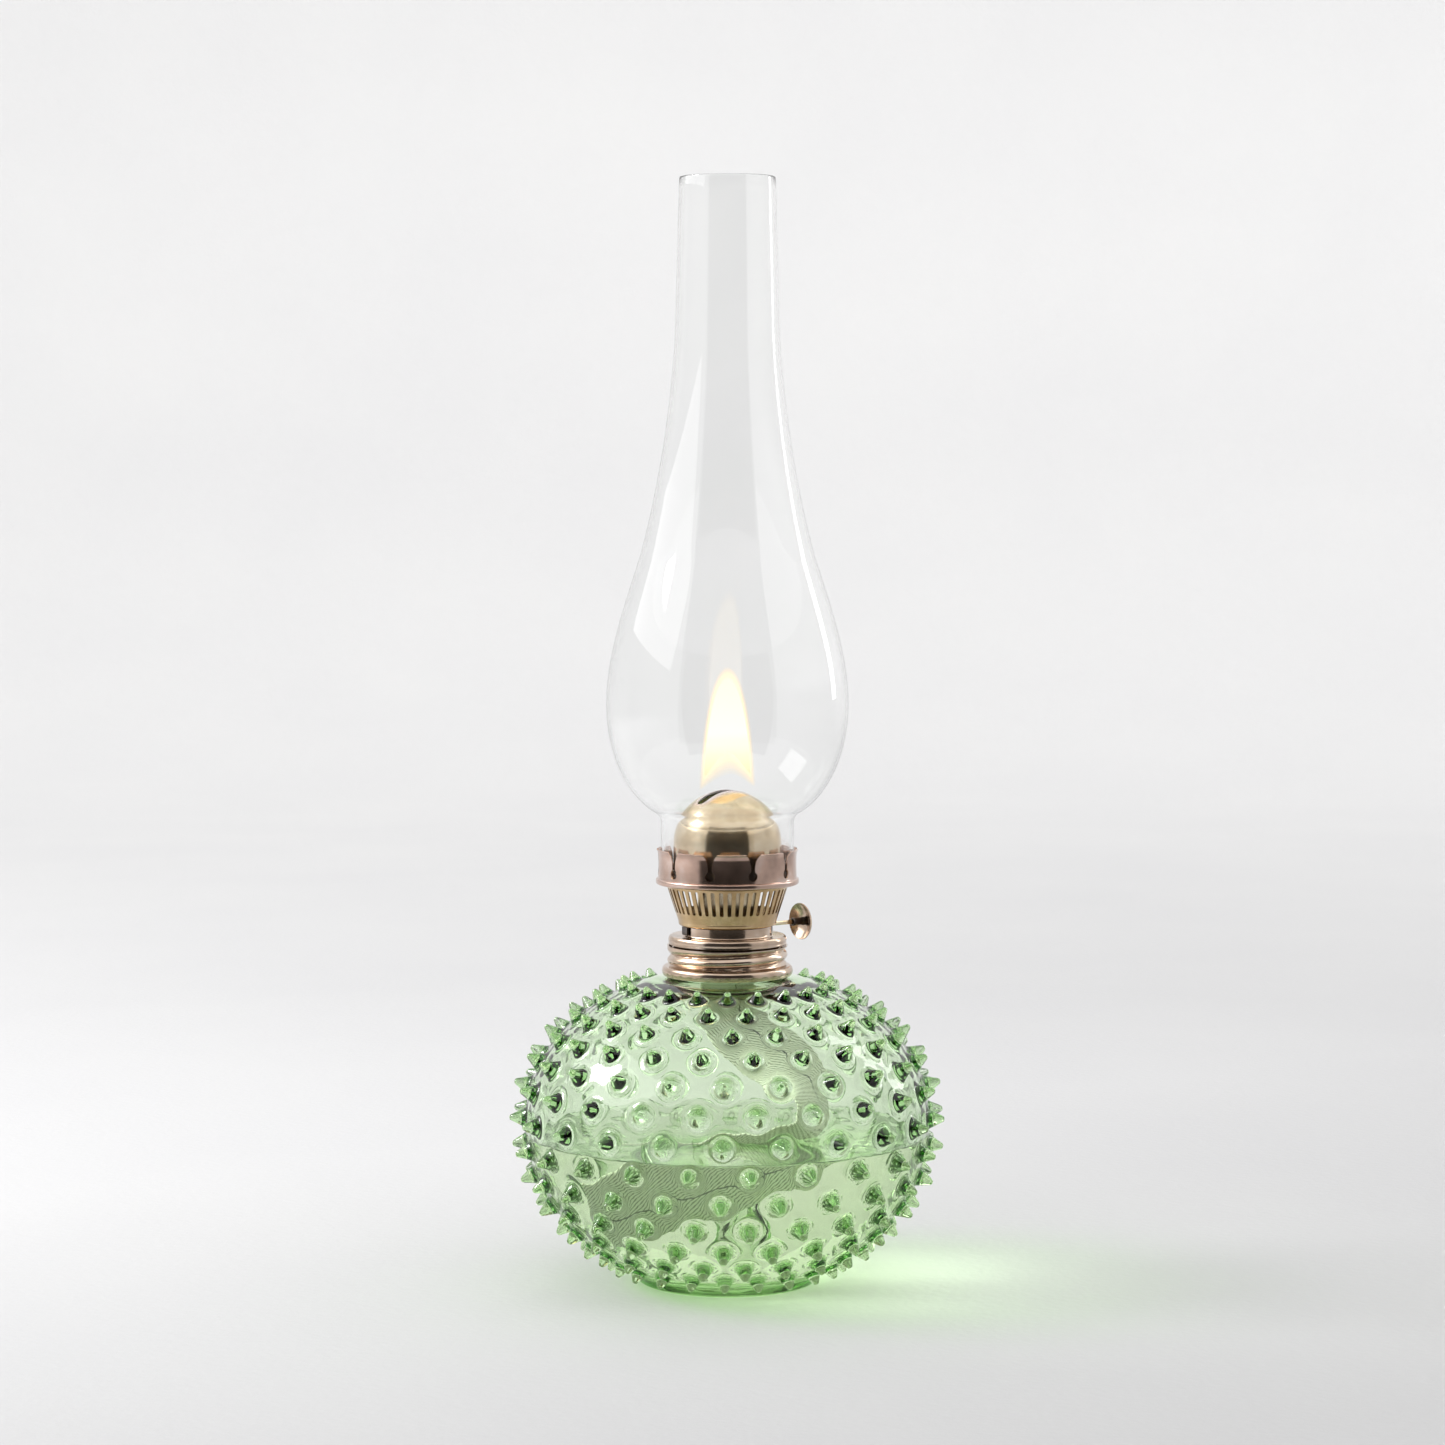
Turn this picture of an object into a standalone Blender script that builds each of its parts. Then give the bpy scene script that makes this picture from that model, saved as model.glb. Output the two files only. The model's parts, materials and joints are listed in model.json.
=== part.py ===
"""Oil lamp: hobnail glass fount, threaded collar, flat-wick burner and glass chimney.

Numbers are in millimetres and degrees, and every mesh becomes metres as it is made. The lamp
stands on z = 0 with its axis on Z. The front is -Y and the right-hand side is +X. The wick
and its winder lie in a plane turned by WINDER_TURN about Z, with the knob to the right rear.
"""

from math import acos, cos, pi, radians, sin, sqrt

import bmesh
import bpy
from mathutils import Matrix, Vector

MM = 0.001
GAP = 0.3

# Fount: two half ellipses that meet at the widest level, cut by a neck and a foot.
BODY_RADIUS = 78.3
BODY_LEVEL = 63.5
BODY_RISE = 58.6
BODY_DROP = 65.5
GLASS_WALL = 4.0
FOOT_RADIUS = 34.0
FOOT_INNER_RADIUS = 28.0
NECK_RADIUS = 21.9
BORE_RADIUS = 17.5
NECK_TOP = 122.4

# Hobs: blunt spikes in rows, every second row half a pitch on. The middle rows stand a little
# high, and each row sits a few degrees off its place, as hand-pressed glass does.
HOBS_PER_ROW = 22
HOB_ROWS = 13
ROW_LIFT = 0.15
ROW_TURNS = (1.3, 1.3, 3.0, 1.5, 0.6, 1.4, 0.0, -0.7, -0.5, -0.4, 0.0, 0.0, 0.0)
ABOVE_FIRST_ROW = 0.155
BELOW_LAST_ROW = 0.085
HOB_HEIGHT = 6.5
HOB_BASE_RADIUS = 4.2
HOB_TIP_RADIUS = 1.45
FIRST_ROW_RADIUS = 39.5
LAST_ROW_RADIUS = 43.5
HOB_TURN = -1.4

# Threaded collar and the burner shell that screws into it.
THREAD_PITCH = 4.4
THREAD_DEPTH = 1.4
THREAD_CREST = 23.3
FRONT_CREST_LEVEL = 126.4
THREAD_CLEARANCE = 0.6
SHEET = 0.6
COLLAR_BOTTOM = 119.3
THREAD_BOTTOM = 123.8
THREAD_TOP = 131.0
FLANGE_RADIUS = 22.8
FLANGE_BOTTOM = 132.4
FLANGE_TOP = 134.9
FLANGE_RIM_BOTTOM = 131.4
FLANGE_RIM_INNER_RADIUS = 22.2
GASKET_INNER_RADIUS = 21.15
TUBE_PLATE_RADIUS = 19.6
CATCH_HALF_WIDTH = 2.4
CATCH_THICKNESS = 0.7
DRUM_RADIUS = 17.1
DRUM_TOP = 138.6

# Wick, its tube and the winder.
WINDER_TURN = 35.0
WICK_WIDTH = 25.0
WICK_THICKNESS = 1.6
WICK_TOP = 184.5
TUBE_BOTTOM = 118.4
TUBE_TOP = 182.0
WHEEL_RADIUS = 4.0
WHEEL_SPACING = 6.5
SHAFT_RADIUS = 0.9
SHAFT_LEVEL = 137.0
SHAFT_OFFSET = WICK_THICKNESS / 2 + GAP + WHEEL_RADIUS
KNOB_RADIUS = 7.2
KNOB_DISTANCE = 40.9

# Air basket, gallery and dome.
BASKET_BOTTOM = 139.0
BASKET_TOP = 154.6
BASKET_LOW_RADIUS = 18.5
BASKET_HIGH_RADIUS = 23.6
BASKET_SLOTS = 44
SLOT_BOTTOM = 144.2
SLOT_TOP = 153.4
GALLERY_FLOOR = 154.95
GALLERY_RADIUS = 27.7
GALLERY_WAIST = 26.65
GALLERY_TOP = 168.3
PRONGS = 10
PRONG_TURN = 3.4
DOME_RADIUS = 20.9
DOME_LEVEL = 170.3
DOME_SLOT_LENGTH = 27.0
DOME_SLOT_WIDTH = 4.6
CATCH_TURNS = (-67.0, 113.0)

# Chimney: outer outline.
CHIMNEY_BOTTOM = 155.6
CHIMNEY_BASE_RADIUS = 25.7
CHIMNEY_SHOULDER = 181.2
CHIMNEY_BULGE_RADIUS = 46.8
CHIMNEY_BULGE_LEVEL = 224.7
CHIMNEY_TOP_RADIUS = 18.5
CHIMNEY_TOP = 426.6
CHIMNEY_WALL = 1.6


def clear_scene():
    for thing in list(bpy.data.objects):
        bpy.data.objects.remove(thing)


def finish(name, colour, roughness, metallic=0.0, transmission=0.0):
    """A material with a Principled BSDF."""
    material = bpy.data.materials.new(name)
    material.use_nodes = True
    shader = material.node_tree.nodes["Principled BSDF"]
    shader.inputs["Base Color"].default_value = (*colour, 1.0)
    shader.inputs["Roughness"].default_value = roughness
    shader.inputs["Metallic"].default_value = metallic
    shader.inputs["Transmission Weight"].default_value = transmission
    return material


def green_glass(name):
    return finish(name, (0.42, 0.78, 0.45), 0.03, transmission=0.9)


def clear_glass(name):
    return finish(name, (0.95, 0.96, 0.95), 0.02, transmission=0.95)


def brass(name):
    return finish(name, (0.72, 0.55, 0.28), 0.22, metallic=1.0)


def rose_bronze(name):
    return finish(name, (0.60, 0.36, 0.28), 0.25, metallic=1.0)


def dark_steel(name):
    return finish(name, (0.10, 0.08, 0.07), 0.4, metallic=1.0)


def plaster(name):
    return finish(name, (0.75, 0.72, 0.66), 0.9)


def cork(name):
    return finish(name, (0.25, 0.16, 0.09), 0.85)


def cotton(name):
    return finish(name, (0.80, 0.76, 0.62), 0.95)


def mesh_object(name, shape, material, parent=None):
    """An object in metres from a bmesh in millimetres, with its faces turned outwards."""
    bmesh.ops.remove_doubles(shape, verts=shape.verts, dist=1e-4)
    bmesh.ops.recalc_face_normals(shape, faces=shape.faces)
    bmesh.ops.scale(shape, vec=(MM, MM, MM), verts=shape.verts)
    mesh = bpy.data.meshes.new(name)
    shape.to_mesh(mesh)
    shape.free()
    mesh.shade_smooth()
    mesh.set_sharp_from_angle(angle=radians(35))
    mesh.materials.append(material)
    thing = bpy.data.objects.new(name, mesh)
    thing.parent = parent
    bpy.context.scene.collection.objects.link(thing)
    return thing


def turned(name, outline, segments, material, parent=None, closed=True):
    """A turned piece: (radius, height) points spun about Z. An open outline ends on the axis."""
    shape = bmesh.new()
    points = [shape.verts.new((radius, 0, height)) for radius, height in outline]
    pairs = list(zip(points, points[1:]))
    if closed:
        pairs.append((points[-1], points[0]))
    edges = [shape.edges.new(pair) for pair in pairs]
    bmesh.ops.spin(
        shape, geom=points + edges, axis=(0, 0, 1), cent=(0, 0, 0),
        angle=2 * pi, steps=segments, use_merge=True,
    )
    return mesh_object(name, shape, material, parent)


def thick_shell(name, outer, inner, rows, columns, material, kept=lambda row, column: True):
    """A ring of sheet between two grids of points, without the cells that kept() refuses."""
    shape = bmesh.new()
    grids = [
        [[shape.verts.new(side(row, column)) for column in range(columns)] for row in range(rows)]
        for side in (outer, inner)
    ]

    def is_kept(row, column):
        return 0 <= row < rows - 1 and kept(row, column % columns)

    for row in range(rows - 1):
        for column in range(columns):
            if not is_kept(row, column):
                continue
            after = (column + 1) % columns
            corners = ((row, column), (row, after), (row + 1, after), (row + 1, column))
            for grid in grids:
                shape.faces.new([grid[i][j] for i, j in corners])
            beyond = ((row - 1, column), (row, column + 1), (row + 1, column), (row, column - 1))
            for side, neighbour in enumerate(beyond):
                if is_kept(*neighbour):
                    continue
                (i, j), (k, m) = corners[side], corners[(side + 1) % 4]
                rim = (grids[0][i][j], grids[0][k][m], grids[1][k][m], grids[1][i][j])
                shape.faces.new(rim)
    return mesh_object(name, shape, material)


def ring_prism(name, outside, inside, bottom, top, material, parent=None):
    """An upright tube or plate between two closed outlines with the same number of points."""
    shape = bmesh.new()
    count = len(outside)
    loops = [
        [shape.verts.new((x, y, level)) for x, y in outline]
        for outline, level in ((outside, bottom), (outside, top), (inside, top), (inside, bottom))
    ]
    for i in range(count):
        for side in range(4):
            low, high = loops[side], loops[(side + 1) % 4]
            shape.faces.new((low[i], low[(i + 1) % count], high[(i + 1) % count], high[i]))
    return mesh_object(name, shape, material, parent)


def prism(name, outline, bottom, top, material, parent=None):
    """An upright solid block of the given outline."""
    shape = bmesh.new()
    base = shape.faces.new([shape.verts.new((x, y, bottom)) for x, y in outline])
    grown = bmesh.ops.extrude_face_region(shape, geom=[base])["geom"]
    moved = [item for item in grown if isinstance(item, bmesh.types.BMVert)]
    bmesh.ops.translate(shape, vec=(0, 0, top - bottom), verts=moved)
    return mesh_object(name, shape, material, parent)


def cut(thing, cutter):
    """Cuts one object out of another, and keeps the cutter as a hidden guide."""
    cutter.hide_render = True
    cutter.display_type = "WIRE"
    modifier = thing.modifiers.new(cutter.name, "BOOLEAN")
    modifier.operation = "DIFFERENCE"
    modifier.object = cutter


def around(radius, turn, level):
    """The point at an angle from the front, turning towards the right."""
    angle = radians(turn)
    return Vector((radius * sin(angle), -radius * cos(angle), level))


def across_winder(along, beside):
    """The X and Y of a point given along the winder's direction and beside it."""
    turn = radians(WINDER_TURN)
    return (along * cos(turn) - beside * sin(turn), along * sin(turn) + beside * cos(turn))


def slot_outline(length, width, points_per_end=6):
    """A slot with round ends along the winder's direction, centred on the axis."""
    reach = (length - width) / 2
    outline = []
    for end in (1, -1):
        for i in range(points_per_end):
            angle = -pi / 2 + pi * i / (points_per_end - 1)
            along = end * (reach + width / 2 * cos(angle))
            outline.append(across_winder(along, end * width / 2 * sin(angle)))
    return outline


def circle_outline(radius, count):
    """A circle whose points lie level with those of slot_outline."""
    outline = []
    for i in range(count):
        angle = -pi / 2 + 2 * pi * (i + 0.5) / count
        outline.append(across_winder(radius * cos(angle), radius * sin(angle)))
    return outline


def curve(start, first_pull, second_pull, end, steps):
    """Points on a cubic curve, without its start."""
    points = []
    for i in range(1, steps + 1):
        t = i / steps
        weights = ((1 - t) ** 3, 3 * t * (1 - t) ** 2, 3 * t * t * (1 - t), t ** 3)
        corners = (start, first_pull, second_pull, end)
        points.append(tuple(sum(w * c[k] for w, c in zip(weights, corners)) for k in (0, 1)))
    return points


# ---------------------------------------------------------------- fount


def body_point(angle, inset=0.0):
    """Radius and height on the fount's half ellipses; the angle is 0 at the widest level."""
    reach = BODY_RISE if angle > 0 else BODY_DROP
    return (
        (BODY_RADIUS - inset) * cos(angle),
        BODY_LEVEL + (reach - inset) * sin(angle),
    )


def body_rows():
    """Angles of the hob rows, nearly an equal distance apart on the glass, from the top down."""
    highest = acos(FIRST_ROW_RADIUS / BODY_RADIUS)
    lowest = -acos(LAST_ROW_RADIUS / BODY_RADIUS)
    steps = 600
    angles = [highest + (lowest - highest) * i / steps for i in range(steps + 1)]
    lengths = [0.0]
    for one, other in zip(angles, angles[1:]):
        (r1, z1), (r2, z2) = body_point(one), body_point(other)
        lengths.append(lengths[-1] + sqrt((r2 - r1) ** 2 + (z2 - z1) ** 2))
    rows = []
    for row in range(HOB_ROWS):
        share = row / (HOB_ROWS - 1)
        wanted = lengths[-1] * (share - ROW_LIFT / (HOB_ROWS - 1) * sin(pi * share))
        rows.append(next(a for a, done in zip(angles, lengths) if done >= wanted - 1e-6))
    return rows


def fount():
    """The glass body: hobs in a lattice of diamonds, then neck, bore, inner wall and foot."""
    shape = bmesh.new()
    columns = 2 * HOBS_PER_ROW
    rows = body_rows()
    levels = [rows[0] + ABOVE_FIRST_ROW, *rows, rows[-1] - BELOW_LAST_ROW]
    turns = [HOB_TURN + turn for turn in (ROW_TURNS[0], *ROW_TURNS, ROW_TURNS[-1])]

    lattice = {}
    for i, level in enumerate(levels):
        radius, height = body_point(level)
        for j in range(columns):
            if (i + j) % 2 == 0:
                turn = turns[i] + 360 * j / columns
                lattice[i, j] = shape.verts.new(around(radius, turn, height))

    def corner(i, j):
        return lattice[i, j % columns]

    for i in range(1, HOB_ROWS + 1):
        for j in range((i + 1) % 2, columns, 2):
            add_hob(shape, levels[i], turns[i] + 360 * j / columns,
                    [corner(i - 1, j), corner(i, j + 1), corner(i + 1, j), corner(i, j - 1)])
    last = HOB_ROWS + 1
    for j in range(0, columns, 2):
        shape.faces.new((corner(0, j), corner(0, j + 2), corner(1, j + 1)))
        shape.faces.new((corner(last, j), corner(last, j + 2), corner(last - 1, j + 1)))

    top_ring = [corner(0, j) for j in range(0, columns, 2)]
    bottom_ring = [corner(last, j) for j in range(0, columns, 2)]
    close_with_rings(shape, top_ring, neck_and_inside(), turns[0])
    close_with_rings(shape, bottom_ring, foot(), turns[-1])
    return mesh_object("fount", shape, green_glass("fount_glass"))


def add_hob(shape, level, turn, corners):
    """A blunt four-sided spike that stands on the diamond between four lattice points."""
    radius, height = body_point(level)
    reach = BODY_RISE if level > 0 else BODY_DROP
    out = Vector((cos(level) / BODY_RADIUS, sin(level) / reach)).normalized()
    centre = around(radius, turn, height)
    normal = around(out.x, turn, out.y)
    sideways = around(1, turn + 90, 0)
    upward = normal.cross(sideways) * (-1 if normal.cross(sideways).z < 0 else 1)
    ways = (upward, sideways, -upward, -sideways)
    foot_ring = [shape.verts.new(centre + way * HOB_BASE_RADIUS) for way in ways]
    tip_ring = [
        shape.verts.new(centre + normal * HOB_HEIGHT + way * HOB_TIP_RADIUS) for way in ways
    ]
    for one in range(4):
        other = (one + 1) % 4
        shape.faces.new((corners[one], corners[other], foot_ring[other], foot_ring[one]))
        shape.faces.new((foot_ring[one], foot_ring[other], tip_ring[other], tip_ring[one]))
    shape.faces.new(tip_ring)


def neck_and_inside():
    """From the shoulder over the neck's rim, down the bore and round the inside to its floor."""
    outline = [
        (23.6, 118.5),
        (NECK_RADIUS, 119.6),
        (NECK_RADIUS, NECK_TOP - 0.6),
        (NECK_RADIUS - 0.6, NECK_TOP),
        (BORE_RADIUS + 0.8, NECK_TOP),
        (BORE_RADIUS, NECK_TOP - 0.8),
        (BORE_RADIUS, 116.0),
        (20.5, 114.4),
    ]
    steps = 15
    first = radians(66)
    for i in range(steps):
        outline.append(body_point(first - (first + pi / 2) * i / steps, GLASS_WALL))
    outline.append((0, BODY_LEVEL - BODY_DROP + GLASS_WALL + 3.5))
    return outline


def foot():
    """From the last hobs down to the flat ring that the lamp stands on, and the hollow in it."""
    return [
        (36.4, 3.2),
        (FOOT_RADIUS + 1.1, 0.7),
        (FOOT_RADIUS, 0.0),
        (FOOT_INNER_RADIUS, 0.0),
        (FOOT_INNER_RADIUS - 1.5, 0.6),
        (14.0, 1.6),
        (0, 2.0),
    ]


def close_with_rings(shape, ring, outline, start_turn):
    """Continues a ring of points along an outline that ends on the axis."""
    count = len(ring)
    for radius, height in outline:
        if radius == 0:
            pole = shape.verts.new((0, 0, height))
            for i in range(count):
                shape.faces.new((ring[i], ring[(i + 1) % count], pole))
            return
        following = [
            shape.verts.new(around(radius, start_turn + 360 * i / count, height))
            for i in range(count)
        ]
        for i in range(count):
            j = (i + 1) % count
            shape.faces.new((ring[i], ring[j], following[j], following[i]))
        ring = following


# ---------------------------------------------------------------- collar and burner base


def thread_wave(turn, level):
    """0 at the bottom of the right-hand thread's groove and 1 on its crest."""
    return (1 + cos(2 * pi * ((level - FRONT_CREST_LEVEL) / THREAD_PITCH - turn / 360))) / 2


def fade(level, bottom, top, over=1.5):
    """1 inside a range of heights, falling to 0 at both its ends."""
    return max(0.0, min(1.0, (level - bottom) / over, (top - level) / over))


def fount_collar():
    """Rolled sheet: a plain ring below, then thread ribs that open wide at the top."""
    columns = 28
    skirt = [
        (24.1, COLLAR_BOTTOM),
        (24.9, COLLAR_BOTTOM + 0.7),
        (25.2, COLLAR_BOTTOM + 2.0),
        (24.8, COLLAR_BOTTOM + 3.4),
        (23.9, COLLAR_BOTTOM + 4.1),
    ]
    thread_rows = 12
    height = THREAD_TOP - THREAD_BOTTOM
    levels = [THREAD_BOTTOM + height * i / (thread_rows - 1) for i in range(thread_rows)]

    def outer(row, column):
        turn = 360 * column / columns
        if row < len(skirt):
            return around(skirt[row][0], turn, skirt[row][1])
        level = levels[row - len(skirt)]
        groove = THREAD_DEPTH * fade(level, THREAD_BOTTOM, THREAD_TOP)
        return around(THREAD_CREST - groove * (1 - thread_wave(turn, level)), turn, level)

    def inner(row, column):
        point = outer(row, column)
        shrink = 1 - SHEET / sqrt(point.x ** 2 + point.y ** 2)
        return Vector((point.x * shrink, point.y * shrink, point.z))

    rows = len(skirt) + thread_rows
    return thick_shell("fount_collar", outer, inner, rows, columns, rose_bronze("collar_metal"))


def collar_cement():
    """The ring of plaster that holds the collar on the neck."""
    inside = NECK_RADIUS + GAP
    outside = 24.1 - SHEET - GAP
    bottom = COLLAR_BOTTOM + GAP
    top = NECK_TOP - 0.4
    outline = [(outside, bottom), (outside, top), (inside, top), (inside, bottom + 0.5)]
    return turned("collar_cement", outline[::-1], 36, plaster("cement_plaster"))


def burner_gasket():
    """The washer between the collar's top edge and the burner's flange."""
    inside = GASKET_INNER_RADIUS
    outside = FLANGE_RIM_INNER_RADIUS - GAP
    bottom = THREAD_TOP + GAP
    top = FLANGE_BOTTOM - GAP
    outline = [(inside, bottom), (outside, bottom), (outside, top), (inside, top)]
    return turned("burner_gasket", outline, 36, cork("gasket_cork"))


def burner_base(shaft_cutter):
    """One pressed shell: male thread, rounded flange and the drum that the winder crosses."""
    columns = 28
    male_crest = THREAD_CREST - SHEET - THREAD_CLEARANCE
    male_root = male_crest - THREAD_DEPTH
    thread_rows = 12
    bottom = THREAD_BOTTOM + 0.7
    top = THREAD_TOP + 0.2
    levels = [bottom + (top - bottom) * i / (thread_rows - 1) for i in range(thread_rows)]
    # Outer and inner (radius, height) of the flange and the drum, from the bottom up.
    pressed = [
        ((male_root + 0.1, FLANGE_BOTTOM), (male_root - SHEET, FLANGE_BOTTOM + 0.1)),
        ((FLANGE_RIM_INNER_RADIUS, FLANGE_BOTTOM), (male_root - 0.4, FLANGE_BOTTOM + 0.8)),
        ((FLANGE_RIM_INNER_RADIUS + 0.05, FLANGE_RIM_BOTTOM + 0.15), (21.1, FLANGE_BOTTOM + 0.9)),
        ((FLANGE_RADIUS - 0.25, FLANGE_RIM_BOTTOM), (21.3, FLANGE_BOTTOM + 1.0)),
        ((FLANGE_RADIUS, FLANGE_RIM_BOTTOM + 0.8), (21.4, FLANGE_BOTTOM + 1.1)),
        ((FLANGE_RADIUS + 0.1, FLANGE_BOTTOM + 0.9), (21.4, FLANGE_BOTTOM + 1.2)),
        ((FLANGE_RADIUS - 0.2, FLANGE_BOTTOM + 1.9), (FLANGE_RADIUS - 1.5, FLANGE_BOTTOM + 1.6)),
        ((FLANGE_RADIUS - 1.0, FLANGE_TOP - 0.1), (FLANGE_RADIUS - 2.0, FLANGE_TOP - 0.7)),
        ((DRUM_RADIUS + 0.8, FLANGE_TOP), (DRUM_RADIUS + 0.2, FLANGE_TOP - SHEET)),
        ((DRUM_RADIUS, FLANGE_TOP + 0.6), (DRUM_RADIUS - SHEET, FLANGE_TOP + 0.2)),
        ((DRUM_RADIUS, DRUM_TOP), (DRUM_RADIUS - SHEET, DRUM_TOP)),
    ]

    def threaded(row, column, inset):
        level = levels[row]
        turn = 360 * column / columns
        rise = THREAD_DEPTH * fade(level, bottom, top) * thread_wave(turn, level)
        return around(male_root + rise - inset, turn, level)

    def side(index, inset):
        def point(row, column):
            if row < thread_rows:
                return threaded(row, column, inset)
            radius, height = pressed[row - thread_rows][index]
            return around(radius, 360 * column / columns, height)
        return point

    rows = thread_rows + len(pressed)
    base = thick_shell(
        "burner_base", side(0, 0.0), side(1, SHEET), rows, columns, rose_bronze("base_metal")
    )
    cut(base, shaft_cutter)
    return base


# ---------------------------------------------------------------- wick, tube and winder


def winder_axis():
    """An empty on the winder's axis, with its Z along the shaft towards the knob."""
    empty = bpy.data.objects.new("winder_axis", None)
    bpy.context.scene.collection.objects.link(empty)
    x, y = across_winder(0, SHAFT_OFFSET)
    towards_knob = Vector((*across_winder(1, 0), 0))
    upward = Vector((0, 0, 1))
    turn = Matrix((upward.cross(towards_knob), upward, towards_knob)).transposed()
    if turn.determinant() < 0:
        turn = Matrix((-upward.cross(towards_knob), upward, towards_knob)).transposed()
    empty.matrix_world = Matrix.Translation((x * MM, y * MM, SHAFT_LEVEL * MM)) @ turn.to_4x4()
    return empty


def rod(name, radius, start, end, segments, material, parent):
    """A plain round bar along its parent's Z."""
    outline = [(0, start), (radius, start), (radius, end), (0, end)]
    return turned(name, outline, segments, material, parent, closed=False)


def sleeve(name, inner, outer, start, end, segments, material, parent):
    """A round tube along its parent's Z."""
    outline = [(inner, start), (outer, start), (outer, end), (inner, end)]
    return turned(name, outline, segments, material, parent)


def winder_shaft(axis):
    return rod("winder_shaft", SHAFT_RADIUS, -11.5, KNOB_DISTANCE - 0.8, 12,
               dark_steel("shaft_steel"), axis)


def spur_wheel(name, centre, axis):
    """A toothed wheel that pushes the wick, with its bore clear of the shaft."""
    teeth = 10
    outside = []
    inside = []
    for i in range(2 * teeth):
        angle = pi * i / teeth
        radius = WHEEL_RADIUS if i % 2 else WHEEL_RADIUS - 1.1
        outside.append((radius * cos(angle), radius * sin(angle)))
        bore = SHAFT_RADIUS + GAP
        inside.append((bore * cos(angle), bore * sin(angle)))
    half = 0.6
    return ring_prism(name, outside, inside, centre - half, centre + half,
                      dark_steel(name + "_steel"), axis)


def knob_disc(axis):
    """A dished disc with a milled edge, hollow on the side that faces the burner."""
    ridges = 28
    shape = bmesh.new()
    thickness = 0.7
    bore = SHAFT_RADIUS + GAP
    # (radius, height) of the face towards the burner; the other face is one thickness on.
    face = [(bore, 0.0), (2.2, 0.0), (4.4, -0.7), (6.4, -1.9), (KNOB_RADIUS, -2.5)]
    rings = []
    for offset, order in ((0.0, face), (thickness, face[::-1])):
        for radius, height in order:
            ring = []
            for i in range(ridges):
                milled = radius - (0.25 if radius == KNOB_RADIUS and i % 2 else 0.0)
                angle = 2 * pi * i / ridges
                level = KNOB_DISTANCE + height + offset
                ring.append(shape.verts.new((milled * cos(angle), milled * sin(angle), level)))
            rings.append(ring)
    for index, ring in enumerate(rings):
        other = rings[(index + 1) % len(rings)]
        for i in range(ridges):
            j = (i + 1) % ridges
            shape.faces.new((ring[i], ring[j], other[j], other[i]))
    return mesh_object("knob_disc", shape, brass("knob_brass"), axis)


def knob_ferrule(axis):
    return sleeve("knob_ferrule", SHAFT_RADIUS + GAP, 1.9, KNOB_DISTANCE - 6.2,
                  KNOB_DISTANCE - GAP, 16, dark_steel("ferrule_steel"), axis)


def knob_rivet(axis):
    """The riveted head that closes the shaft's end over the knob."""
    start = KNOB_DISTANCE + 0.7 + GAP
    outline = [(0, start), (2.0, start), (1.9, start + 0.5), (1.2, start + 1.0), (0, start + 1.2)]
    return turned("knob_rivet", outline, 16, brass("rivet_brass"), axis, closed=False)


def shaft_bushing(axis):
    """The flanged bush that lines the drum's wall where the shaft leaves it."""
    bore = SHAFT_RADIUS + GAP
    wall = sqrt(DRUM_RADIUS ** 2 - SHAFT_OFFSET ** 2)
    outline = [
        (bore, wall - 2.4), (1.5, wall - 2.4), (1.5, wall + 1.3), (1.7, wall + 1.3),
        (1.7, wall + 2.0), (bore, wall + 2.0),
    ]
    return turned("shaft_bushing", outline, 14, brass("bushing_brass"), axis)


def wick_tube(wheel_cutters):
    """The flat tube that guides the wick, with a window for each wheel."""
    outside = slot_outline(WICK_WIDTH + 2.4, WICK_THICKNESS + 1.8)
    inside = slot_outline(WICK_WIDTH + 1.2, WICK_THICKNESS + 0.7)
    tube = ring_prism("wick_tube", outside, inside, TUBE_BOTTOM, TUBE_TOP, brass("tube_brass"))
    for cutter in wheel_cutters:
        cut(tube, cutter)
    return tube


def tube_plate():
    """The plate inside the threaded shell that carries the wick tube."""
    hole = slot_outline(WICK_WIDTH + 3.0, WICK_THICKNESS + 2.4)
    outside = circle_outline(TUBE_PLATE_RADIUS, len(hole))
    bottom = THREAD_BOTTOM + 1.6
    return ring_prism("tube_plate", outside, hole, bottom, bottom + 0.7, brass("plate_brass"))


def box_outline(along_low, along_high, beside_low, beside_high):
    corners = (
        (along_low, beside_low), (along_high, beside_low),
        (along_high, beside_high), (along_low, beside_high),
    )
    return [across_winder(*corner) for corner in corners]


def wheel_cage(shaft_cutter):
    """The open box behind the tube in which the wheels turn and which carries the shaft."""
    near = WICK_THICKNESS / 2 + 0.9 + GAP
    far = SHAFT_OFFSET + WHEEL_RADIUS + 0.9
    reach = 10.0
    outside = box_outline(-reach, reach, near, far)
    inside = box_outline(-reach + 0.7, reach - 0.7, near + 0.5, far - 0.5)
    bottom = SHAFT_LEVEL - 6.7
    top = SHAFT_LEVEL + 5.9
    cage = ring_prism("wheel_cage", outside, inside, bottom, top, brass("cage_brass"))
    wheels = prism("cage_front_window", box_outline(-8.6, 8.6, near - 1, near + 2),
                   bottom + 1, top - 1, brass("window_guide"))
    cut(cage, wheels)
    cut(cage, shaft_cutter)
    return cage


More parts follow.
